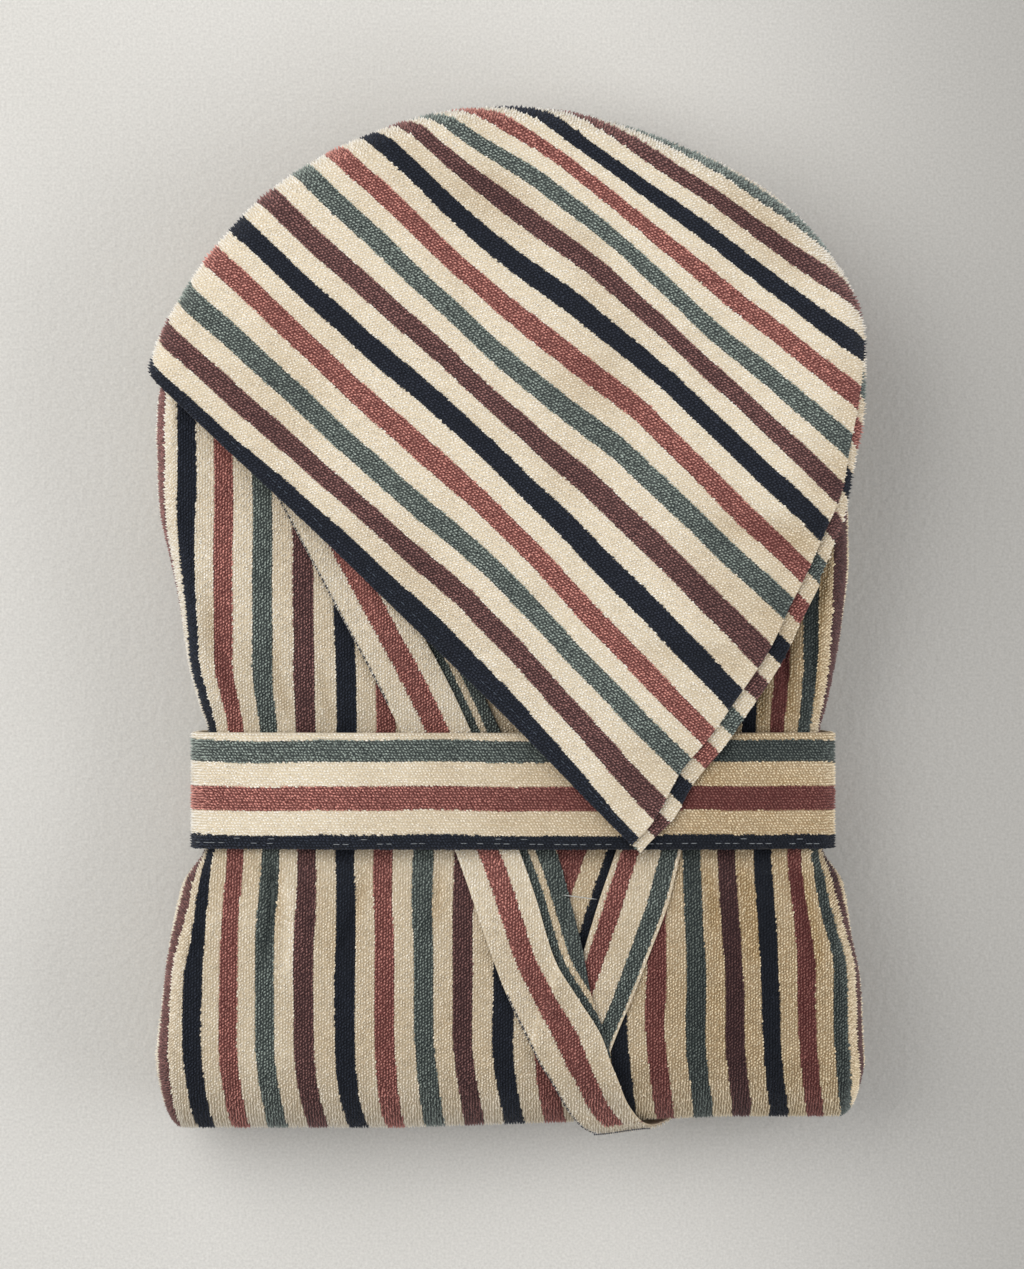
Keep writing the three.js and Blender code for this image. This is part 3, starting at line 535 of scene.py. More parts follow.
# Across each strip: a share of its width for the bands, millimetres for the facings, and y for the belt.
RIGHT_BAND_STRIPE = strip_stripe((0, 0.5), (0.36, 0.75), (0.69, 1.25), (1, 1.5))
RIGHT_FACING_STRIPE = strip_stripe(
    (8, 2), (10.8, 2.25), (12.2, 2.5), (13.6, 2.25), (18, 2), (22.6, 2.25), (24, 2.5), (40, 2.5)
)
LEFT_FACING_STRIPE = strip_stripe((5, 1.5), (9, 1.25), (18, 1), (23.5, 0.75), (28, 0.5), (32, 0.25), (40, 0))
BELT_STRIPE = strip_stripe(
    (-97, 0), (-90.7, 0.25), (-80.3, 0.75), (-70.1, 1.25), (-59.7, 1.75), (-50.4, 2.25), (-47, 2.45)
)
LEFT_BAND_STRIPE = strip_stripe((0, 0.5), (0.08, 0.75), (0.35, 1.25), (0.69, 1.75), (0.95, 2.25), (1, 2.45))
LIP_SHOWS_CREAM = 64  # degrees round the bottom fold
FACING_RULE_START = -36  # where the left facing's table starts, from the left band's inner side


def belt_stripe(length, y):
    return BELT_STRIPE(y + 0.3 * np.sin(length / 21) + 0.2 * np.sin(length / 8.3))


def right_band_stripe(x, s):
    """Where the band turns over in its lip, the cream of its other face shows."""
    across = (x - right_band_outer(s)) / (right_band_inner(s) - right_band_outer(s))
    return np.where(s < fold_length(LIP_SHOWS_CREAM), CREAM, RIGHT_BAND_STRIPE(across))


def right_facing_stripe(x, s):
    return RIGHT_FACING_STRIPE(x - facing_outer(s))


def left_facing_stripe(x, s):
    return LEFT_FACING_STRIPE(x - left_band_inner(s) - FACING_RULE_START)


def left_band_stripe(x, s):
    return LEFT_BAND_STRIPE((x - left_band_inner(s)) / (left_band_outer(s) - left_band_inner(s)))


# ---- creases
# Each crease: where it starts and ends on the flat cloth, how wide and how deep it is.


def crease(x, y, start, end, width, depth):
    start, end = np.array(start, float), np.array(end, float)
    way = end - start
    length = np.hypot(*way)
    way /= length
    at = (x - start[0]) * way[0] + (y - start[1]) * way[1]
    off = -(x - start[0]) * way[1] + (y - start[1]) * way[0]
    bowed = off - 0.06 * length * np.sin(np.clip(at / length, 0, 1) * math.pi)
    fades = smooth(0, 0.3 * length, at) * smooth(length, 0.7 * length, at)
    return -depth * np.exp(-((bowed / width) ** 2)) * fades


def creased(rows):
    def relief(x, y):
        return sum(crease(x, y, *row) for row in rows)

    return relief


def waves(x, y):
    """Cloth never lies quite flat."""
    slow = np.sin(x / 23 + 0.6 * np.sin(y / 31)) * np.sin(y / 29 + 1.3)
    return 0.3 * slow + 0.15 * np.sin(x / 9.5 + y / 17 + 2) * np.sin(y / 12.5)


RIGHT_FRONT_CREASES = [
    ((-60, -96), (-78, -150), 3.2, 1.0), ((-102, -97), (-107, -150), 3.2, 2.0),
    ((-30, -100), (-38, -140), 2.8, 0.8), ((-112, -46), (-128, 20), 3.6, 1.1),
    ((-92, -46), (-101, 0), 3.0, 0.9), ((-74, -47), (-80, -12), 2.6, 0.8),
    ((-125, -100), (-138, -150), 3.2, 0.8), ((-95, -99), (-96, -165), 3.4, -1.1),
    ((-128, -99), (-130, -140), 3, -0.7),
]
LEFT_FRONT_CREASES = [
    ((96, -98), (104, -150), 3.4, 1.1), ((118, -98), (130, -160), 3.4, 1.1),
    ((82, -100), (86, -135), 2.8, 0.8), ((108, -48), (111, 20), 2.4, 1.5),
    ((121.5, -48), (124, 40), 2.4, 1.4), ((133, -48), (136, 30), 2.4, 1.2),
]
HOOD_CREASES = [
    ((30, 150), (120, 168), 9, 1.0), ((150, 30), (260, 60), 8, 0.7), ((210, 110), (262, 150), 6, 1.2),
    ((90, 205), (190, 226), 9, 0.9), ((228, 60), (278, 90), 5, 1.0), ((40, 60), (140, 78), 9, 0.6),
]


# ---- materials

# Ground and loop colours of each dye, by the stripe coordinate's cycle; the ground is its own yarn, made
# darker as painted shade between the loops.
DYES = {
    "navy": (srgb(16, 20, 28), srgb(58, 64, 78)),
    "rose": (srgb(76, 32, 32), srgb(250, 176, 162)),
    "green": (srgb(26, 33, 35), srgb(186, 198, 189)),
    "maroon": (srgb(44, 26, 29), srgb(184, 134, 128)),
}
CREAM_GROUND = (srgb(206, 192, 166), srgb(136, 110, 72))  # lit and in painted shade, which turns the cream tan
# The loops' cream, lit and in painted shade.
CREAM_LOOPS = (srgb(255, 253, 248), srgb(250, 231, 194))
SHADED = 0.8  # painted shade: how far the loops' colour goes to their ground's where painted shade lies on the cloth
COLOUR_CYCLE = ("navy", "rose", "green", "maroon")
RAGGED_EDGE = 0.12  # how far fibres stray across a stripe's edge on the ground, as a share of a stripe


class Nodes:
    """Short calls for a material's nodes."""

    def __init__(self, name):
        self.material = bpy.data.materials.new(name)
        self.material.use_nodes = True
        self.tree = self.material.node_tree
        self.surface = self.tree.nodes["Principled BSDF"]

    def add(self, kind, inputs=(), **settings):
        node = self.tree.nodes.new(kind)
        for key, value in settings.items():
            setattr(node, key, value)
        for socket, value in dict(inputs).items():
            if isinstance(value, bpy.types.NodeSocket):
                self.tree.links.new(value, node.inputs[socket])
            else:
                node.inputs[socket].default_value = value
        return node

    def math(self, operation, *values, clamp=False):
        node = self.add("ShaderNodeMath", dict(enumerate(values)), operation=operation, use_clamp=clamp)
        return node.outputs[0]

    def mix(self, share, first, second, blend="MIX"):
        node = self.add("ShaderNodeMix", data_type="RGBA", blend_type=blend)
        for socket, value in ((0, share), (6, first), (7, second)):
            if isinstance(value, bpy.types.NodeSocket):
                self.tree.links.new(value, node.inputs[socket])
            elif socket == 0:
                node.inputs[0].default_value = value
            else:
                node.inputs[socket].default_value = (*value[:3], 1)
        return node.outputs[2]

    def attribute(self, name):
        return self.add("ShaderNodeAttribute", attribute_name=name).outputs["Fac"]

    def ramp(self, value, stops, interpolation="CONSTANT"):
        node = self.add("ShaderNodeValToRGB", {"Fac": value})
        node.color_ramp.interpolation = interpolation
        elements = node.color_ramp.elements
        while len(elements) < len(stops):
            elements.new(0.5)
        for element, (place, colour) in zip(elements, stops):
            element.position = place
            element.color = (*colour[:3], 1)
        return node.outputs["Color"]

    def link(self, output, socket):
        self.tree.links.new(output, self.surface.inputs[socket])

    def set(self, values):
        for socket, value in values.items():
            self.surface.inputs[socket].default_value = value

    def bump(self, height, strength, distance):
        bump = self.add("ShaderNodeBump", {"Height": height, "Strength": strength, "Distance": distance})
        self.link(bump.outputs[0], "Normal")


def dye_stops(which, cream):
    stops = []
    for i, name in enumerate(COLOUR_CYCLE):
        stops.append((i / 4, DYES[name][which] if not cream else (0, 0, 0)))
        stops.append((i / 4 + 0.125, (1, 1, 1)))
    return stops


def terry_material(name, pile):
    """Dyed cotton terry, coloured from the stripe coordinate, with painted shade: dark in its ground between
    the loops, light on the loops' tips, and darker and tan where painted shade lies on the cloth.
    """
    nodes = Nodes(name)
    place = nodes.add("ShaderNodeTexCoord").outputs["Object"]
    fibres = nodes.add("ShaderNodeTexNoise", {"Vector": place, "Scale": 1400.0, "Detail": 3.0}).outputs["Fac"]
    patches = nodes.add("ShaderNodeTexNoise", {"Vector": place, "Scale": 42.0, "Detail": 4.0}).outputs["Fac"]
    stray = 0.0 if pile else RAGGED_EDGE
    ragged = nodes.math("MULTIPLY_ADD", fibres, stray, -stray / 2)
    stripe = nodes.math("ADD", nodes.attribute("stripe"), ragged)
    cycle = nodes.math("DIVIDE", nodes.math("FLOORED_MODULO", nodes.math("ADD", stripe, 0.25), 4.0), 4.0)
    ground = nodes.ramp(cycle, dye_stops(0, cream=False))
    loops = nodes.ramp(cycle, dye_stops(1, cream=False))
    is_cream = nodes.ramp(cycle, dye_stops(0, cream=True))
    # Painted shade from each point's value, made uneven by random patches; it takes cream from pale to tan.
    patchy = nodes.math("MULTIPLY", nodes.math("SUBTRACT", patches, 0.5), 0.5)
    painted_shade = nodes.math("ADD", nodes.attribute("painted_shade"), patchy, clamp=True)
    cream_ground = nodes.mix(painted_shade, *CREAM_GROUND)
    cream_loops = nodes.mix(painted_shade, *CREAM_LOOPS)
    mask = nodes.add("ShaderNodeSeparateColor", {0: is_cream}).outputs[0]
    ground = nodes.mix(mask, ground, cream_ground)
    loops = nodes.mix(mask, loops, cream_loops)
    # Painted shade also takes the coloured loops towards their darker ground.
    shaded = nodes.math("SUBTRACT", SHADED, nodes.math("MULTIPLY", mask, SHADED))
    loops = nodes.mix(nodes.math("MULTIPLY", painted_shade, shaded), loops, ground)
    # Painted shade between the loops: the ground's darker colour at each loop's foot, the loops' at its tip.
    worn = nodes.math("MULTIPLY_ADD", fibres, 0.5, -0.25)
    lit = nodes.math("ADD", nodes.attribute("tip"), worn, clamp=True)
    nodes.link(nodes.mix(lit, ground, loops), "Base Color")
    nodes.set({"Roughness": 0.96, "Specular IOR Level": 0.15, "Sheen Weight": 0.12, "Sheen Roughness": 0.6})
    cells = {"Vector": place, "Scale": 650.0, "Randomness": 0.7}
    knit = nodes.add("ShaderNodeTexVoronoi", cells, feature="F1").outputs["Distance"]
    height = nodes.math("ADD", nodes.math("MULTIPLY", knit, -0.8), nodes.math("MULTIPLY", fibres, 0.5))
    nodes.bump(height, 0.5, 0.0005 if pile else 0.0009)
    return nodes.material


def thread_material(name, light, dark):
    nodes = Nodes(name)
    place = nodes.add("ShaderNodeTexCoord").outputs["Object"]
    twist = nodes.add("ShaderNodeTexNoise", {"Vector": place, "Scale": 2600.0, "Detail": 2.0}).outputs["Fac"]
    nodes.link(nodes.mix(twist, dark, light), "Base Color")
    nodes.set({"Roughness": 0.75, "Sheen Weight": 0.2})
    nodes.bump(twist, 0.4, 0.0003)
    return nodes.material


CLOTH = terry_material("terry_ground", pile=False)
LOOPS = terry_material("terry_loops", pile=True)
LIGHT_THREAD = thread_material("thread_light", srgb(196, 196, 190), srgb(112, 114, 116))
FAINT_THREAD = thread_material("thread_faint", srgb(150, 154, 156), srgb(72, 78, 86))
DIM_THREAD = thread_material("thread_dim", srgb(86, 98, 112), srgb(44, 54, 68))
DARK_THREAD = thread_material("thread_dark", srgb(46, 50, 62), srgb(18, 20, 28))

# ---- meshes

BELT_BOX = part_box("belt")
SHIFT = np.array([BELT_BOX[1][0] / MM - BELT_LEFT_X, BELT_BOX[1][1] / MM - BELT_TOP_Y, 0])


def mesh_piece(name, points, faces, material, values=None, flat=None):
    """A piece from points in millimetres, with values at its points for its material and flat UVs."""
    mesh = bpy.data.meshes.new(name)
    corners = faces.shape[1]
    mesh.vertices.add(len(points))
    points = points + SHIFT
    points[:, 2] = np.maximum(points[:, 2], 0)
    mesh.vertices.foreach_set("co", (points * MM).ravel())
    mesh.loops.add(faces.size)
    mesh.loops.foreach_set("vertex_index", faces.ravel().astype(np.int32))
    mesh.polygons.add(len(faces))
    mesh.polygons.foreach_set("loop_start", np.arange(0, faces.size, corners, dtype=np.int32))
    mesh.update(calc_edges=True)
    for key, value in (values or {}).items():
        mesh.attributes.new(key, "FLOAT", "POINT").data.foreach_set("value", value.astype(np.float32).ravel())
    if flat is not None:
        low, span = flat.min(axis=0), np.ptp(flat, axis=0).max()
        places = 0.01 + 0.98 * (flat - low) / span
        layer = mesh.uv_layers.new(name="OFBake")
        layer.data.foreach_set("uv", places[faces.ravel()].astype(np.float32).ravel())
    mesh.materials.append(material)
    mesh.shade_smooth()
    piece = bpy.data.objects.new(name, mesh)
    bpy.context.scene.collection.objects.link(piece)
    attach(piece, "root")
    return piece


def grid_faces(number):
    """The four-sided faces between the rows and columns of a grid of point numbers."""
    corners = number[:-1, :-1], number[1:, :-1], number[1:, 1:], number[:-1, 1:]
    return np.stack(corners, axis=-1).reshape(-1, 4)


def facing_out(points, faces):
    """The faces of a closed surface, turned over where they face inwards."""
    first = points[faces[:, 0]]
    normals = np.cross(points[faces[:, 1]] - first, points[faces[:, 2]] - first)
    return faces[:, ::-1] if (first * normals).sum() < 0 else faces


# Painted light on crests and painted shade in hollows, as a share of the relief.
RELIEF_PAINTED_LIGHT = 0.3


@dataclass
class Cloth:
    """One cut piece: where it lies, its edges across at each length, its faces, colours, painted shade and
    relief.
    """

    name: str
    slot: str
    place: Callable
    edges: Callable  # length -> the flat coordinates where the piece starts and ends across
    span: tuple  # first and last length
    outer: Callable  # lift of its outer face, across and along
    thickness: float
    stripe: Callable
    painted_shade: Callable
    relief: Callable = field(default=lambda u, v: 0 * u)
    shows: Callable = field(default=lambda u, v: np.ones(u.shape, bool))
    closed: bool = False
    grid: float = 3.0
    rim: float = 1.6

    def shade(self, u, v):
        """How much painted shade the cloth has, which also turns its cream tan: less on crests, as painted
        light on the loops, and more in hollows.
        """
        return self.painted_shade(u, v) - RELIEF_PAINTED_LIGHT * self.relief(u, v)

    def lift(self, u, v):
        """Lift of the ground of its pile."""
        return self.outer(u, v) - PILE + self.relief(u, v)


RIM_PLACES = np.array([0, 0.07, 0.3, 0.65, 1.0])


def with_rims(start, end, rim, step):
    """Places from start to end, close together near both rims."""
    start, end = np.asarray(start, float)[..., None], np.asarray(end, float)[..., None]
    count = max(4, int(np.max(np.abs(end - start)) / step))
    way = np.sign(end - start)
    inner = np.linspace(0, 1, count)[1:-1]
    low, high = start + way * rim, end - way * rim
    last = (end - way * rim * RIM_PLACES)[..., ::-1]
    return np.concatenate([start + way * rim * RIM_PLACES, low + (high - low) * inner, last], axis=-1)


def wall(cloth):
    """The cloth itself: an outer and an inner face that meet in a rounded rim."""
    lengths = with_rims(cloth.span[0], cloth.span[1], cloth.rim, cloth.grid)
    starts, ends = cloth.edges(lengths)
    rim_across = 0.0 if cloth.closed else cloth.rim
    across = with_rims(starts, ends, rim_across or 1e-6, cloth.grid)
    if cloth.closed:
        across = across[:, len(RIM_PLACES) - 1 : -(len(RIM_PLACES) - 1)]
        across = np.concatenate([starts[:, None], across[:, 1:-1]], axis=1)
    along = np.broadcast_to(lengths[:, None], across.shape)
    near_end = np.minimum(np.abs(along - cloth.span[0]), np.abs(along - cloth.span[1]))
    near_side = np.minimum(across - starts[:, None], ends[:, None] - across)
    if cloth.closed:
        near_side = np.full(across.shape, cloth.rim)
    inside = np.clip(np.minimum(near_end, near_side) / cloth.rim, 0, 1)
    share = np.sqrt(1 - (1 - inside) ** 2)
    ground = cloth.lift(across, along)
    half = (cloth.thickness - PILE) / 2
    middle = ground - half
    outer = cloth.place(across, along, middle + half * share)
    inner = cloth.place(across, along, middle - half * share)
    rows, columns = across.shape
    number = np.arange(rows * columns).reshape(rows, columns)
    if cloth.closed:
        number = np.concatenate([number, number[:, :1]], axis=1)
    quads = grid_faces(number)
    back = quads[:, ::-1] + rows * columns
    points = np.concatenate([outer.reshape(-1, 3), inner.reshape(-1, 3)])
    faces = np.concatenate([quads, back])
    welded = np.tile((share < 1e-6).ravel(), 2)
    same = np.arange(2 * rows * columns)
    same[rows * columns :][welded[: rows * columns]] = np.flatnonzero(welded[: rows * columns])
    faces = facing_out(points, same[faces])
    both = lambda value: np.tile(np.asarray(value, float).ravel(), 2)
    flat = np.stack([both(across), both(along)], axis=-1)
    flat[rows * columns :, 0] += np.ptp(across) + 5
    # The cloth under the pile has the ground's darker colour, as painted shade between the loops.
    values = {
        "stripe": both(cloth.stripe(across, along)),
        "painted_shade": both(cloth.shade(across, along)),
        "tip": both(0.1 + 0 * across),
    }
    kept, places = np.unique(faces.ravel(), return_inverse=True)
    return mesh_piece(
        cloth.name, points[kept], places.reshape(faces.shape), CLOTH,
        {key: value[kept] for key, value in values.items()}, flat[kept],
    )


WALE, COURSE = 1.18, 1.32  # from loop to loop across the cloth and along it
UNEVEN = 0.12  # how far loops stray, as a share of that
LOOP = {"length": 1.75, "width": 0.94, "height": 1.35, "slant": 30 * DEG}
LOOP_FACES = np.array([(0, 1, 4), (1, 2, 4), (2, 3, 4), (3, 0, 4)])
LOOP_POINTS = 5


def pile(cloth, name, shows=None, coarse=1.0, along_across=False):
    """Terry loops that stand on a cloth in wales and courses, slanted and a little uneven, in one mesh."""
    shows = shows or cloth.shows
    wale, course = (COURSE, WALE) if along_across else (WALE, COURSE)
    wale, course = wale * coarse, course * coarse
    first, last = sorted(cloth.span)
    v = np.arange(first + 0.4, last - 0.4, course)
    starts, ends = cloth.edges(v)
    u = np.arange(starts.min(), ends.max(), wale)
    u, v = np.meshgrid(u, v)
    stagger = (np.arange(u.shape[1]) % 2) * 0.5 * course
    if along_across:
        u = u + ((np.arange(u.shape[0]) % 2) * 0.5 * wale)[:, None]
    else:
        v = v + stagger
    u, v = u.ravel(), v.ravel()
    u = u + RANDOM.normal(0, UNEVEN * wale, u.shape)
    v = v + RANDOM.normal(0, UNEVEN * course, v.shape)
    starts, ends = cloth.edges(v)
    kept = (u > starts + 0.3) & (u < ends - 0.3) & (v > first + 0.2) & (v < last - 0.2)
    u, v = u[kept], v[kept]
    kept = shows(u, v) & (cloth.place(u, v, cloth.lift(u, v))[:, 2] > PILE)
    u, v = u[kept], v[kept]
    step = 0.4
    base = cloth.place(u, v, cloth.lift(u, v))
    to_u = cloth.place(u + step, v, cloth.lift(u + step, v)) - base
    to_v = cloth.place(u, v + step, cloth.lift(u, v + step)) - base
    to_u /= np.linalg.norm(to_u, axis=1, keepdims=True) + 1e-9
    to_v /= np.linalg.norm(to_v, axis=1, keepdims=True) + 1e-9
    up = np.cross(to_u, to_v)
    raised = cloth.place(u, v, cloth.lift(u, v) + step) - base
    up *= np.sign((up * raised).sum(axis=1, keepdims=True))
    slant = LOOP["slant"] + RANDOM.normal(0, 9 * DEG, u.shape)
    if along_across:
        slant = math.pi / 2 - slant
    cos, sin = np.cos(slant)[:, None], np.sin(slant)[:, None]
    way = to_v * cos + to_u * sin
    side = to_u * cos - to_v * sin
    size = coarse * (1 + RANDOM.normal(0, 0.08, u.shape))[:, None]
    height = LOOP["height"] * (1 + RANDOM.normal(0, 0.12, u.shape))[:, None] * (0.5 + 0.5 * coarse)
    lean = 0.25 * RANDOM.normal(0, 1, u.shape)[:, None] * side
    long, wide = LOOP["length"] / 2 * size, LOOP["width"] / 2 * size
    sunk = base - 0.15 * up
    top = base + height * up + lean + 0.3 * long * way
    foot = [sunk + long * way, sunk + wide * side, sunk - long * way, sunk - wide * side]
    corners = np.stack([*foot, top], axis=1)
    faces = (np.arange(len(u))[:, None, None] * LOOP_POINTS + LOOP_FACES).reshape(-1, 3)
    # Each loop has the ground's darker colour at its foot, as painted shade, and a tip whose lightness
    # differs at random.
    worn = RANDOM.uniform(0.5, 1.3, u.shape)
    tips = np.stack([0 * worn + 0.1] * 4 + [worn], axis=1)
    each = lambda value: np.repeat(np.asarray(value, float), LOOP_POINTS)
    shape = np.array([(0, 1), (1, 0), (0, -1), (-1, 0), (0, 0)]) * (0.3 * wale, 0.3 * course)
    flat = np.stack([u, v], axis=-1)[:, None, :] + shape
    return mesh_piece(
        name, corners.reshape(-1, 3), faces, LOOPS,
        {"stripe": each(cloth.stripe(u, v)), "painted_shade": each(cloth.shade(u, v)), "tip": tips.ravel()},
        flat.reshape(-1, 2),
    )


# ---- which cloth shows


def under_hood(x, y):
    """Whether the hood lies over a flat place of the packet's top."""
    out = (x - HOOD_CORNER[0]) * -EDGE_Y + (y - HOOD_CORNER[1]) * EDGE_X
    along = (x - HOOD_CORNER[0]) * EDGE_X + (y - HOOD_CORNER[1]) * EDGE_Y
    return (out > 3) & (along < seam_along(np.clip(out, 0, 300)) + SEAM_STRIP - 3)


def under_belt(y):
    return (y < BELT_TOP_Y - 3) & (y > BELT_BOTTOM_Y + 3)


def bare(x, s):
    """Shows from some side: not under the belt or the hood, and not against the floor."""
    y, _, _, out_z, _ = spine(s)
    covered = under_belt(y) | ((out_z > 0.5) & under_hood(x, y))
    side = np.where(x < 0, -1, 1)
    turned = np.abs(x) > side_edge(y, side) - EDGE_WIDTH
    floor = (out_z < -0.75) & ~turned
    return ~covered & ~floor


def right_front_shows(x, s):
    return bare(x, s) & (x < right_band_outer(s) + 2)


def left_front_shows(x, s):
    return bare(x, s) & ((x > left_band_outer(s) - 2) | (s < fold_length(10)))


def left_facing_shows(x, s):
    return bare(x, s) & (x > right_facing_inner(s) - 2) & (x < left_band_inner(s) + 2)


def left_band_shows(x, s):
    return bare(x, s) & (x > right_facing_inner(s) - 2)


def right_facing_shows(x, s):
    return bare(x, s) & (x > right_band_inner(s) - 1)


# ---- the pieces

# How much painted shade each cloth has, which also turns its cream tan: the least, how much more it gets
# elsewhere, and from where to where it changes.
PAINTED_SHADES = {
    "chest": (0.15, 0.7, -150, 120), "skirt": (0.4, 0.44, -60, 110), "right_band": (0.1, 0.35, -60, -210),
    "left_band": (0.4, 0, 0, 1), "belt": (0, 0.85, -120, 110), "hood": (0, 0.5, 60, 170),
}
SKIRT_TO_CHEST = (-100, -60)
HOOD_SHADE_SLANT = 0.35
RELIEF_FADES = (FOLD_Y - 20, FOLD_Y + 10)  # the creases and waves fade out over the bottom fold


def painted_shade_at(part, place):
    least_shade, more, start, end = PAINTED_SHADES[part]
    return least_shade + more * smooth(start, end, place)


def front_painted_shade(x, s):
    """Painted shade: lighter on the chest to the wearer's right, and heavier and tan on the skirt, most on
    the left.
    """
    skirt = painted_shade_at("skirt", x)
    return skirt + (painted_shade_at("chest", x) - skirt) * smooth(*SKIRT_TO_CHEST, s)


# More painted shade towards the bottom fold.
def right_band_painted_shade(x, s):
    return painted_shade_at("right_band", s)


# An even painted shade.
def left_band_painted_shade(x, s):
    return painted_shade_at("left_band", x)


# More painted shade towards the belt's end at +x.
def belt_painted_shade(length, y):
    return painted_shade_at("belt", np.interp(length, BELT_ROUND, BELT_POINTS[:, 0]))


# More painted shade towards +x and towards lower y.
def hood_painted_shade(along, out):
    x, y = hood_flat(along, out)
    return painted_shade_at("hood", x - HOOD_SHADE_SLANT * y)


def creases_on_top(rows):
    relief = creased(rows)

    def on_flat(x, s):
        return (relief(x, s) + waves(x, s)) * smooth(*RELIEF_FADES, s)

    return on_flat


FRONT_SPAN = (FRONT_TOP_Y, under_length(FRONT_TOP_Y))


def front(name, side, stripe, creases, shows):
    def edges(s):
        inner, outer = front_inner(s, side), turned_x(s, side, WRAP_TURN)
        return np.minimum(inner, outer), np.maximum(inner, outer)

    return Cloth(
        name, "terry_body", drape, edges, FRONT_SPAN, lambda x, s: 0 * x, TERRY, stripe, front_painted_shade,
        creases_on_top(creases), shows,
    )


def strip(name, edges, span, outer, thickness, stripe, painted_shade, shows, grid=2.5):
    relief = lambda x, s: 0.5 * waves(x, s) * smooth(*RELIEF_FADES, s)
    return Cloth(
        name, "terry_band", drape, edges, span, outer, thickness, stripe, painted_shade, relief, shows, grid=grid
    )


RIGHT_FRONT = front(
    "right_front_cloth", -1, front_stripe(RIGHT_SKIRT, RIGHT_PLEATED, RIGHT_WAIST, RIGHT_CHEST),
    RIGHT_FRONT_CREASES, right_front_shows,
)
LEFT_FRONT = front(
    "left_front_cloth", 1, front_stripe(LEFT_SKIRT, LEFT_PLEATED, LEFT_WAIST, LEFT_CHEST),
    LEFT_FRONT_CREASES, left_front_shows,
)
LEFT_FACING = strip(
    "left_facing_cloth", lambda s: (front_inner(s, -1) + GAP, front_inner(s, 1) - GAP), (26, FOLD_Y),
    lambda x, s: 0 * x, TERRY, left_facing_stripe, front_painted_shade, left_facing_shows,
)
LEFT_BAND_CLOTH = strip(
    "left_band_cloth", lambda s: (left_band_inner(s), left_band_outer(s)), (52, fold_length(10)),
    lambda x, s: GAP + BAND + 0 * x, BAND, left_band_stripe, left_band_painted_shade, left_band_shows,
)
RIGHT_FACING_CLOTH = strip(
    "right_facing_cloth", lambda s: (facing_outer(s), right_facing_inner(s)), (52, fold_length(4)),
    lambda x, s: facing_lift(x, s) + BAND, BAND, right_facing_stripe, front_painted_shade, right_facing_shows, 1.2,
)
RIGHT_BAND_CLOTH = strip(
    "right_band_cloth", lambda s: (right_band_outer(s), right_band_inner(s)), (FRONT_TOP_Y, fold_length(140)),
    lambda x, s: right_band_lift(x, s) + BAND, BAND, right_band_stripe, right_band_painted_shade, bare,
)
BELT_CLOTH = Cloth(
    "belt_cloth", "terry_belt", around, lambda y: (0 * y, 0 * y + BELT_ROUND[-1]),
    (BELT_BOTTOM_Y, BELT_TOP_Y), lambda u, y: 0 * u, BELT, belt_stripe, belt_painted_shade, closed=True, rim=2.0,
)


# How far each half ends from the line of the crown seam, and how much less near the hood's tip.
SEAM_ENDS = {
    "right": {"beyond": -1.8, "less": 2.5, "from": 14},
    "left": {"beyond": 5.8, "less": 5, "from": 26},
}


def seam_end(out, half):
    ends = SEAM_ENDS[half]
    return seam_along(out) + ends["beyond"] - ends["less"] * smooth(ends["from"], -2, out)


def hood_edges(half):
    """Where a row of the hood starts at its hanging edge and ends at the seam or its other hanging edge."""
    lowest = HOOD_EDGE_RADIUS - HOOD_DROP
    tries = np.arange(0, 301, 5.0)

    def edges(out):
        out = np.atleast_1d(np.asarray(out, float))
        peak = tries[np.argmax(hood_inset(tries[:, None], out[None]), axis=0)]
        inside = lambda p: hood_inset(p, out) > lowest
        left = furthest(inside, peak, peak - 300)
        right = np.minimum(furthest(inside, peak, peak + 300), seam_end(out, half))
        return left, right

    return edges


HOOD_BOW = 1.8


def place_hood(along, out, lift):
    """The front edge bows in a little between its ends."""
    bow = HOOD_BOW * smooth(10, 120, along) * smooth(285, 200, along) * smooth(34, 0, out)
    return drape_hood(along, out + bow, lift)


def hood_relief(along, out):
    x, y = hood_flat(along, out)
    inset = hood_inset(along, out)
    return (creased(HOOD_CREASES)(along, out) + 2.4 * waves(x, y)) * smooth(-30, 6, inset)


def hood_half(name, stripe, lift, half, shows):
    return Cloth(
        name, "terry_hood", place_hood, hood_edges(half), (0, HOOD_LAST_ROW),
        lambda p, out: lift + TERRY + 0 * p, TERRY, stripe, hood_painted_shade, hood_relief, shows,
    )


def strip_shows(along, out):
    return along > seam_end(out, "right") - 1.5


HOOD_RIGHT = hood_half(
    "hood_right_cloth", hood_stripe, TERRY + GAP, "right", lambda p, out: np.ones(p.shape, bool)
)
HOOD_LEFT = hood_half("hood_left_cloth", seam_stripe, 0, "left", strip_shows)

CLOTHS = {
    "right_front": RIGHT_FRONT, "left_front": LEFT_FRONT, "left_facing": LEFT_FACING,
    "left_band": LEFT_BAND_CLOTH, "right_facing": RIGHT_FACING_CLOTH, "right_band": RIGHT_BAND_CLOTH,
    "belt": BELT_CLOTH, "hood_left_half": HOOD_LEFT, "hood_right_half": HOOD_RIGHT,
}


# ---- hidden layers

HIDDEN_TURN = 112 * DEG
COVERED_LIFT = -(TERRY + 1.5 * GAP)
BARE_LIFT = -0.6
BARE_STEP = 3
HIDDEN_EDGES = 3  # edges of folded cloth that show in the slit on each side, above it and below it
HIDDEN_DEPTHS = {"from": 0.8, "to": 0.985, "span": 0.185}  # where they lie, as shares of the layers' height
HIDDEN_INSET = {"at": 5.6, "swells": 2.6, "wanders": 1.1}  # how far in from the packet's side they lie
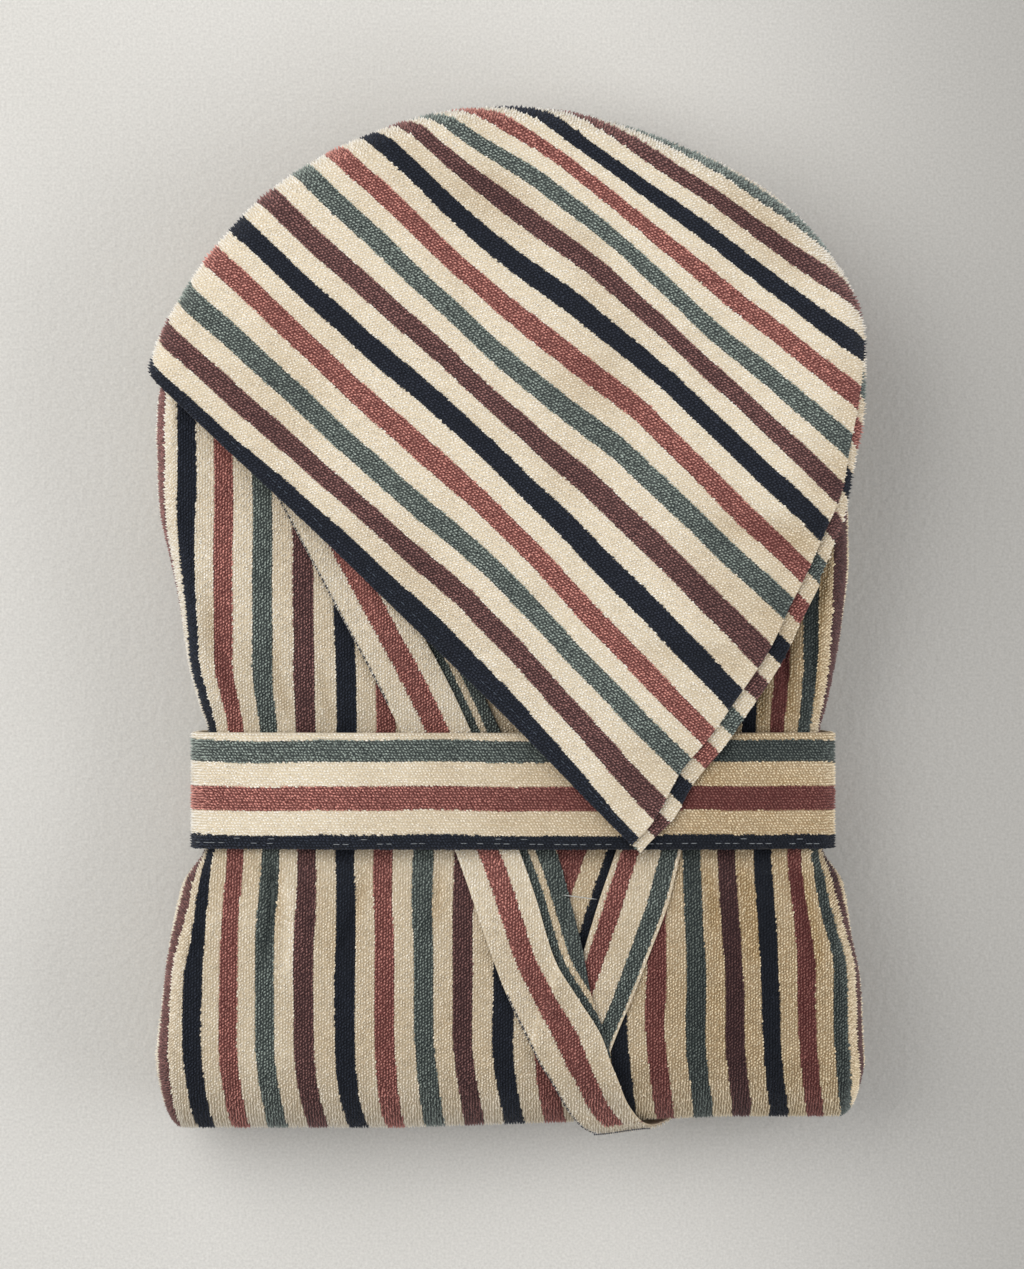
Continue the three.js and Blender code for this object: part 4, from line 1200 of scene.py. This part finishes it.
# Painted shade on the hidden layers: darker and tan, and between ground and loop colours.
HIDDEN_PAINTED_SHADE, HIDDEN_TIP = 0.7, 0.4
END_ROWS = (122, 142, 162, 178, 190, 198, 204, 207, END_Y)


def inside_point(s, x, depth):
    y, z, out_y, out_z, half = spine(s)
    x = x + 0 * y
    return np.stack([x, y - out_y * depth + hem_shift(x, y), z - out_z * depth], axis=-1)


def folded_layers():
    """The folded layers as one rounded body bent round the bottom fold, with their edges in the slit."""
    top = [*sorted(END_ROWS, reverse=True), FRONT_TOP_Y + BARE_STEP, *np.arange(FRONT_TOP_Y, FOLD_Y, -6)]
    fold = [fold_length(turn) for turn in np.arange(0, 180, 9)]
    under_rows = [*np.arange(FOLD_Y, FRONT_TOP_Y, 8), FRONT_TOP_Y, FRONT_TOP_Y + BARE_STEP, *END_ROWS]
    lengths = np.array([*top, *fold, *(under_length(y) for y in under_rows)])
    rings = []
    for s in lengths:
        s = np.array(s, float)
        y, _, _, _, half = spine(s)
        lift = COVERED_LIFT if y < FRONT_TOP_Y + BARE_STEP / 2 else BARE_LIFT
        flat = np.linspace(turned_x(s, -1, 0), turned_x(s, 1, 0), 24)
        sides = []
        for side in (1, -1):
            turns = np.linspace(0, HIDDEN_TURN, 9)[1:]
            turned = [drape(np.array(turned_x(s, side, turn)), s, lift) for turn in turns]
            depths = np.linspace(HIDDEN_DEPTHS["from"], HIDDEN_DEPTHS["to"], 6 * HIDDEN_EDGES)
            edge = []
            for depth in depths:
                layer = (depth - HIDDEN_DEPTHS["from"]) / HIDDEN_DEPTHS["span"] * HIDDEN_EDGES
                swell = math.sqrt(max(0.0, 1 - (2 * (layer % 1) - 1) ** 2))
                wander = HIDDEN_INSET["wanders"] * math.sin(2.1 * int(layer) + y / 37)
                inset = HIDDEN_INSET["at"] - HIDDEN_INSET["swells"] * swell + wander
                edge.append(inside_point(s, side * (side_edge(y, side) - inset), depth * 2 * half))
            sides.append([*turned, *edge])
        outer = [drape(np.array(x), s, lift) for x in flat]
        inner = [inside_point(s, x, 2 * half - GAP) for x in flat[::-1][1:-1]]
        rings.append([*outer, *sides[0], *inner, *sides[1][::-1]])
    rings = np.array(rings)
    rows, size, _ = rings.shape
    number = np.arange(rows * size).reshape(rows, size)
    number = np.concatenate([number, number[:, :1]], axis=1)
    quads = grid_faces(number)
    points = rings.reshape(-1, 3)
    ends = []
    for row, turn in ((0, 1), (rows - 1, -1)):
        middle = len(points)
        points = np.concatenate([points, rings[row].mean(axis=0, keepdims=True)])
        ring = number[row, :-1]
        pairs = np.stack([ring, np.roll(ring, -1)], axis=-1)[:, ::turn]
        ends.append(np.concatenate([pairs, np.full((size, 2), middle)], axis=1))
    faces = facing_out(points, np.concatenate([quads, *ends]))
    steps = np.linalg.norm(np.diff(rings, axis=1), axis=2).mean(axis=0)
    way_round = np.tile(np.concatenate([[0], np.cumsum(steps)]), rows)
    values = {
        "stripe": np.concatenate([way_round, [0, 0]]) / STRIPE_PITCH,
        "painted_shade": np.full(len(points), HIDDEN_PAINTED_SHADE),
        "tip": np.full(len(points), HIDDEN_TIP),
    }
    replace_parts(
        mesh_piece("folded_layers_cloth", points, faces, CLOTH, values), "folded_layers"
    )


# ---- sewing


# Each kind of stitch: its length, width and height, and how far it lies above the ground of the pile.
STITCHES = {
    "belt": (3.0, 0.32, 0.25, 0.75), "hem": (2.0, 0.3, 0.2, 0.7), "overlock_light": (0.8, 0.45, 0.4, 0.4),
    "overlock_dark": (1.2, 0.7, 0.5, 0.5), "lip": (0.9, 1.3, 0.6, 1.0), "loose": (16, 0.45, 0.3, 3.0),
}


def dashes(name, cloth, places, kind, material):
    """Stitches as small pillows on a cloth, each given by its place and its turn from straight across."""
    corners, faces = [], []
    shape = np.array([(-1, 0), (-0.6, 1), (0.6, 1), (1, 0), (0.6, -1), (-0.6, -1)])
    length, width, height, raise_by = STITCHES[kind]
    for u, v, turn in places:
        u, v = np.array(u, float), np.array(v, float)
        lift = cloth.outer(u, v) + cloth.relief(u, v) - PILE + raise_by
        base = cloth.place(u, v, lift)
        to_u = cloth.place(u + 0.5, v, lift) - base
        to_v = cloth.place(u, v + 0.5, lift) - base
        up = cloth.place(u, v, lift + 0.5) - base
        to_u, to_v, up = (w / (np.linalg.norm(w) + 1e-9) for w in (to_u, to_v, up))
        way = to_u * math.cos(turn) + to_v * math.sin(turn)
        side = -to_u * math.sin(turn) + to_v * math.cos(turn)
        ring = base + shape[:, :1] * length / 2 * way + shape[:, 1:] * width / 2 * side
        start = len(corners) * 8
        top = [base + height * up + 0.3 * length * way, base + height * up - 0.3 * length * way]
        corners.append(np.concatenate([ring, top]))
        faces += [(start + a, start + b, start + c) for a, b, c in (
            (3, 2, 6), (2, 1, 7), (2, 7, 6), (1, 0, 7), (0, 5, 7), (5, 4, 6), (5, 6, 7), (4, 3, 6))]
    return mesh_piece(name, np.concatenate(corners), np.array(faces), material)


def stitched(places, share):
    """Leaves out the stitches that have sunk into the pile, so that this share of them shows."""
    return [place for place in places if RANDOM.random() < share]


BELT_STITCHES = ((-94.4, 0.5), (-92.4, 0.1))  # where each row runs, and the share of it that shows
LIP_HEM_TURN = 76  # degrees round the bottom fold
LIP_HEM_LENGTH = 24
OVERLOCK_HIDDEN = (-36, -158)  # between these lengths the right band's edge lies too close for it to show
OVERLOCK_STEP = 0.9
HEM_STITCH_IN = 3.9  # from the hood's front edge
LOOSE_THREAD = (29.5, -116.8, -0.13)  # x, y and turn


def sewing():
    """The topstitching on navy edges, the right band's overlocked edge and one loose thread."""
    pieces = {}
    around_top = np.arange(0, BELT_ROUND[-1], 3.6)
    rows = []
    for y, share in BELT_STITCHES:
        row = [(u + RANDOM.normal(0, 0.4), y + 0.25 * math.sin(u / 17), 0.0) for u in around_top]
        rows += stitched(row, share)
    pieces["belt"] = [dashes("belt_topstitch", BELT_CLOTH, rows, "belt", FAINT_THREAD)]
    rim = [(p, HEM_STITCH_IN + RANDOM.normal(0, 0.15), 0.0) for p in np.arange(-4, 284, 3.4)]
    pieces["hood_right_half"] = [
        dashes("hood_hem_topstitch", HOOD_RIGHT, stitched(rim, 0.35), "hem", DIM_THREAD)
    ]
    lip_end = fold_length(LIP_HEM_TURN)
    lengths = np.arange(lip_end, FRONT_TOP_Y, OVERLOCK_STEP)
    lengths = lengths[(lengths > OVERLOCK_HIDDEN[0]) | (lengths < OVERLOCK_HIDDEN[1])]
    edge = [(float(right_band_outer(s)) + 0.4, s, 1.1) for s in lengths]
    lip_start = float(right_band_outer(lip_end))
    hem = [(x, lip_end, 0.0) for x in np.arange(lip_start, lip_start + LIP_HEM_LENGTH, OVERLOCK_STEP)]
    kinds = (
        ("right_band_overlock_light", edge[::3], "overlock_light", LIGHT_THREAD),
        ("right_band_overlock_dark", edge[1::3] + edge[2::3], "overlock_dark", DARK_THREAD),
        ("right_band_lip_overlock", hem, "lip", DARK_THREAD),
    )
    pieces["right_band"] = [dashes(name, RIGHT_BAND_CLOTH, *rest) for name, *rest in kinds]
    pieces["left_facing"] = [dashes("loose_thread", LEFT_FACING, [LOOSE_THREAD], "loose", LIGHT_THREAD)]
    return pieces


# ---- putting it together


HOOD_HALFWAY = 105
FINE_PILE_ENDS = FOLD_Y - 54  # along the packet's length, round the bottom fold
FINE_PILE_HALF_WIDTH = 160
BELT_RESTS = 100  # length from under its middle on which the belt lies on the floor and has no loops


def hood_pile():
    """The hood's loops, in three meshes: two that lie on top, and one that hangs round the packet's end."""
    lies = lambda p, out: (hood_inset(p, out) > -6) | (hood_angle(*hood_flat(p, out)) < HOOD_RADII[0][0])
    hangs = lambda p, out: ~lies(p, out)
    front_part = lambda p, out: lies(p, out) & (out < HOOD_HALFWAY)
    back_part = lambda p, out: lies(p, out) & (out >= HOOD_HALFWAY)
    return [
        pile(HOOD_RIGHT, "hood_right_pile_front", front_part, along_across=True),
        pile(HOOD_RIGHT, "hood_right_pile_back", back_part, along_across=True),
        pile(HOOD_RIGHT, "hood_right_pile_hanging", hangs, coarse=1.5, along_across=True),
    ]


def dress_gown():
    stitches = sewing()
    folded_layers()
    for node, cloth in CLOTHS.items():
        body = wall(cloth)
        if node == "hood_right_half":
            loops = hood_pile()
        elif node == "belt":
            clear = lambda u, y: (u > BELT_RESTS) & (u < BELT_ROUND[-1] - BELT_RESTS)
            loops = [pile(cloth, "belt_pile", clear, along_across=True)]
        elif node in ("right_front", "left_front"):
            fine = lambda x, s: (s > FINE_PILE_ENDS) & (np.abs(x) < FINE_PILE_HALF_WIDTH)
            top = lambda x, s: cloth.shows(x, s) & fine(x, s)
            rest = lambda x, s: cloth.shows(x, s) & ~fine(x, s)
            loops = [
                pile(cloth, f"{node}_pile_top", top),
                pile(cloth, f"{node}_pile_sides", rest, coarse=1.6),
            ]
        else:
            loops = [pile(cloth, f"{node}_pile")]
        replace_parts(body, node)


FLOOR_REACH = 12.0
# Painted shade on the floor: its colour goes darker towards +x.
FLOOR_BRIGHT = (srgb(196, 194, 189), srgb(205, 203, 199))
FLOOR_PAINTED_SHADE = srgb(162, 160, 156)
FLOOR_SHADE_SPAN = {"From Min": 0.02, "From Max": 0.26}  # metres along x over which the floor's painted shade comes in
SPECKLE = ((0.8, 0.8, 0.8), (1.2, 1.2, 1.2))


def floor():
    mesh = bpy.data.meshes.new("floor")
    corners = [(x * FLOOR_REACH, y * FLOOR_REACH, 0) for x, y in ((-1, -1), (1, -1), (1, 1), (-1, 1))]
    mesh.from_pydata(corners, [], [(0, 1, 2, 3)])
    piece = bpy.data.objects.new("floor", mesh)
    bpy.context.scene.collection.objects.link(piece)
    nodes = Nodes("floor_plaster")
    place = nodes.add("ShaderNodeTexCoord").outputs["Object"]
    grain, cloudy, grit = (
        nodes.add("ShaderNodeTexNoise", {"Vector": place, "Scale": scale, "Detail": detail}).outputs["Fac"]
        for scale, detail in ((260.0, 5.0), (9.0, 3.0), (900.0, 2.0))
    )
    across = nodes.add("ShaderNodeSeparateXYZ", {"Vector": place}).outputs["X"]
    # Painted shade: the floor darker towards +x.
    painted_falloff = nodes.add("ShaderNodeMapRange", {"Value": across, **FLOOR_SHADE_SPAN}, interpolation_type="SMOOTHSTEP")
    plain = nodes.mix(painted_falloff.outputs[0], nodes.mix(cloudy, *FLOOR_BRIGHT), FLOOR_PAINTED_SHADE)
    nodes.link(nodes.mix(1.0, plain, nodes.mix(grit, *SPECKLE), "MULTIPLY"), "Base Color")
    nodes.bump(grain, 0.25, 0.002)
    nodes.set({"Roughness": 0.9, "Specular IOR Level": 0.1})
    mesh.materials.append(nodes.material)


def area_light(name, place, aim, size, power):
    data = bpy.data.lights.new(name, "AREA")
    data.shape = "RECTANGLE"
    data.size, data.size_y = size
    data.energy = power
    light = bpy.data.objects.new(name, data)
    light.location = place
    light.rotation_euler = (Vector(aim) - Vector(place)).to_track_quat("-Z", "Y").to_euler()
    bpy.context.scene.collection.objects.link(light)
    return light


def studio():
    key = area_light("key", (-1.05, 0.55, 1.3), (-0.3, 0.15, 0), (1.8, 1.5), 26)
    key.data.color = (1.0, 0.985, 0.955)
    area_light("fill", (1.2, -0.2, 0.75), (0, 0, 0), (1.4, 1.0), 12)
    world = bpy.data.worlds.new("studio")
    world.use_nodes = True
    background = world.node_tree.nodes["Background"]
    background.inputs["Color"].default_value = (0.97, 0.98, 1.0, 1)
    background.inputs["Strength"].default_value = 0.55
    bpy.context.scene.world = world
    bpy.context.scene.view_settings.view_transform = "Standard"


PICTURE_HEIGHT = 1269  # pixels, of the photograph's frame
SENSOR = 36
CAMERA = {"x": 1.1, "y": -5.4, "height": 1700, "focal": 3862.8}  # millimetres, and pixels


def camera():
    data = bpy.data.cameras.new("camera")
    data.sensor_width = SENSOR
    data.lens = CAMERA["focal"] / PICTURE_HEIGHT * SENSOR
    view = bpy.data.objects.new("camera", data)
    view.location = (np.array([CAMERA["x"], CAMERA["y"], CAMERA["height"]]) + SHIFT) * MM
    bpy.context.scene.collection.objects.link(view)
    bpy.context.scene.camera = view


camera()
dress_gown()
floor()
studio()
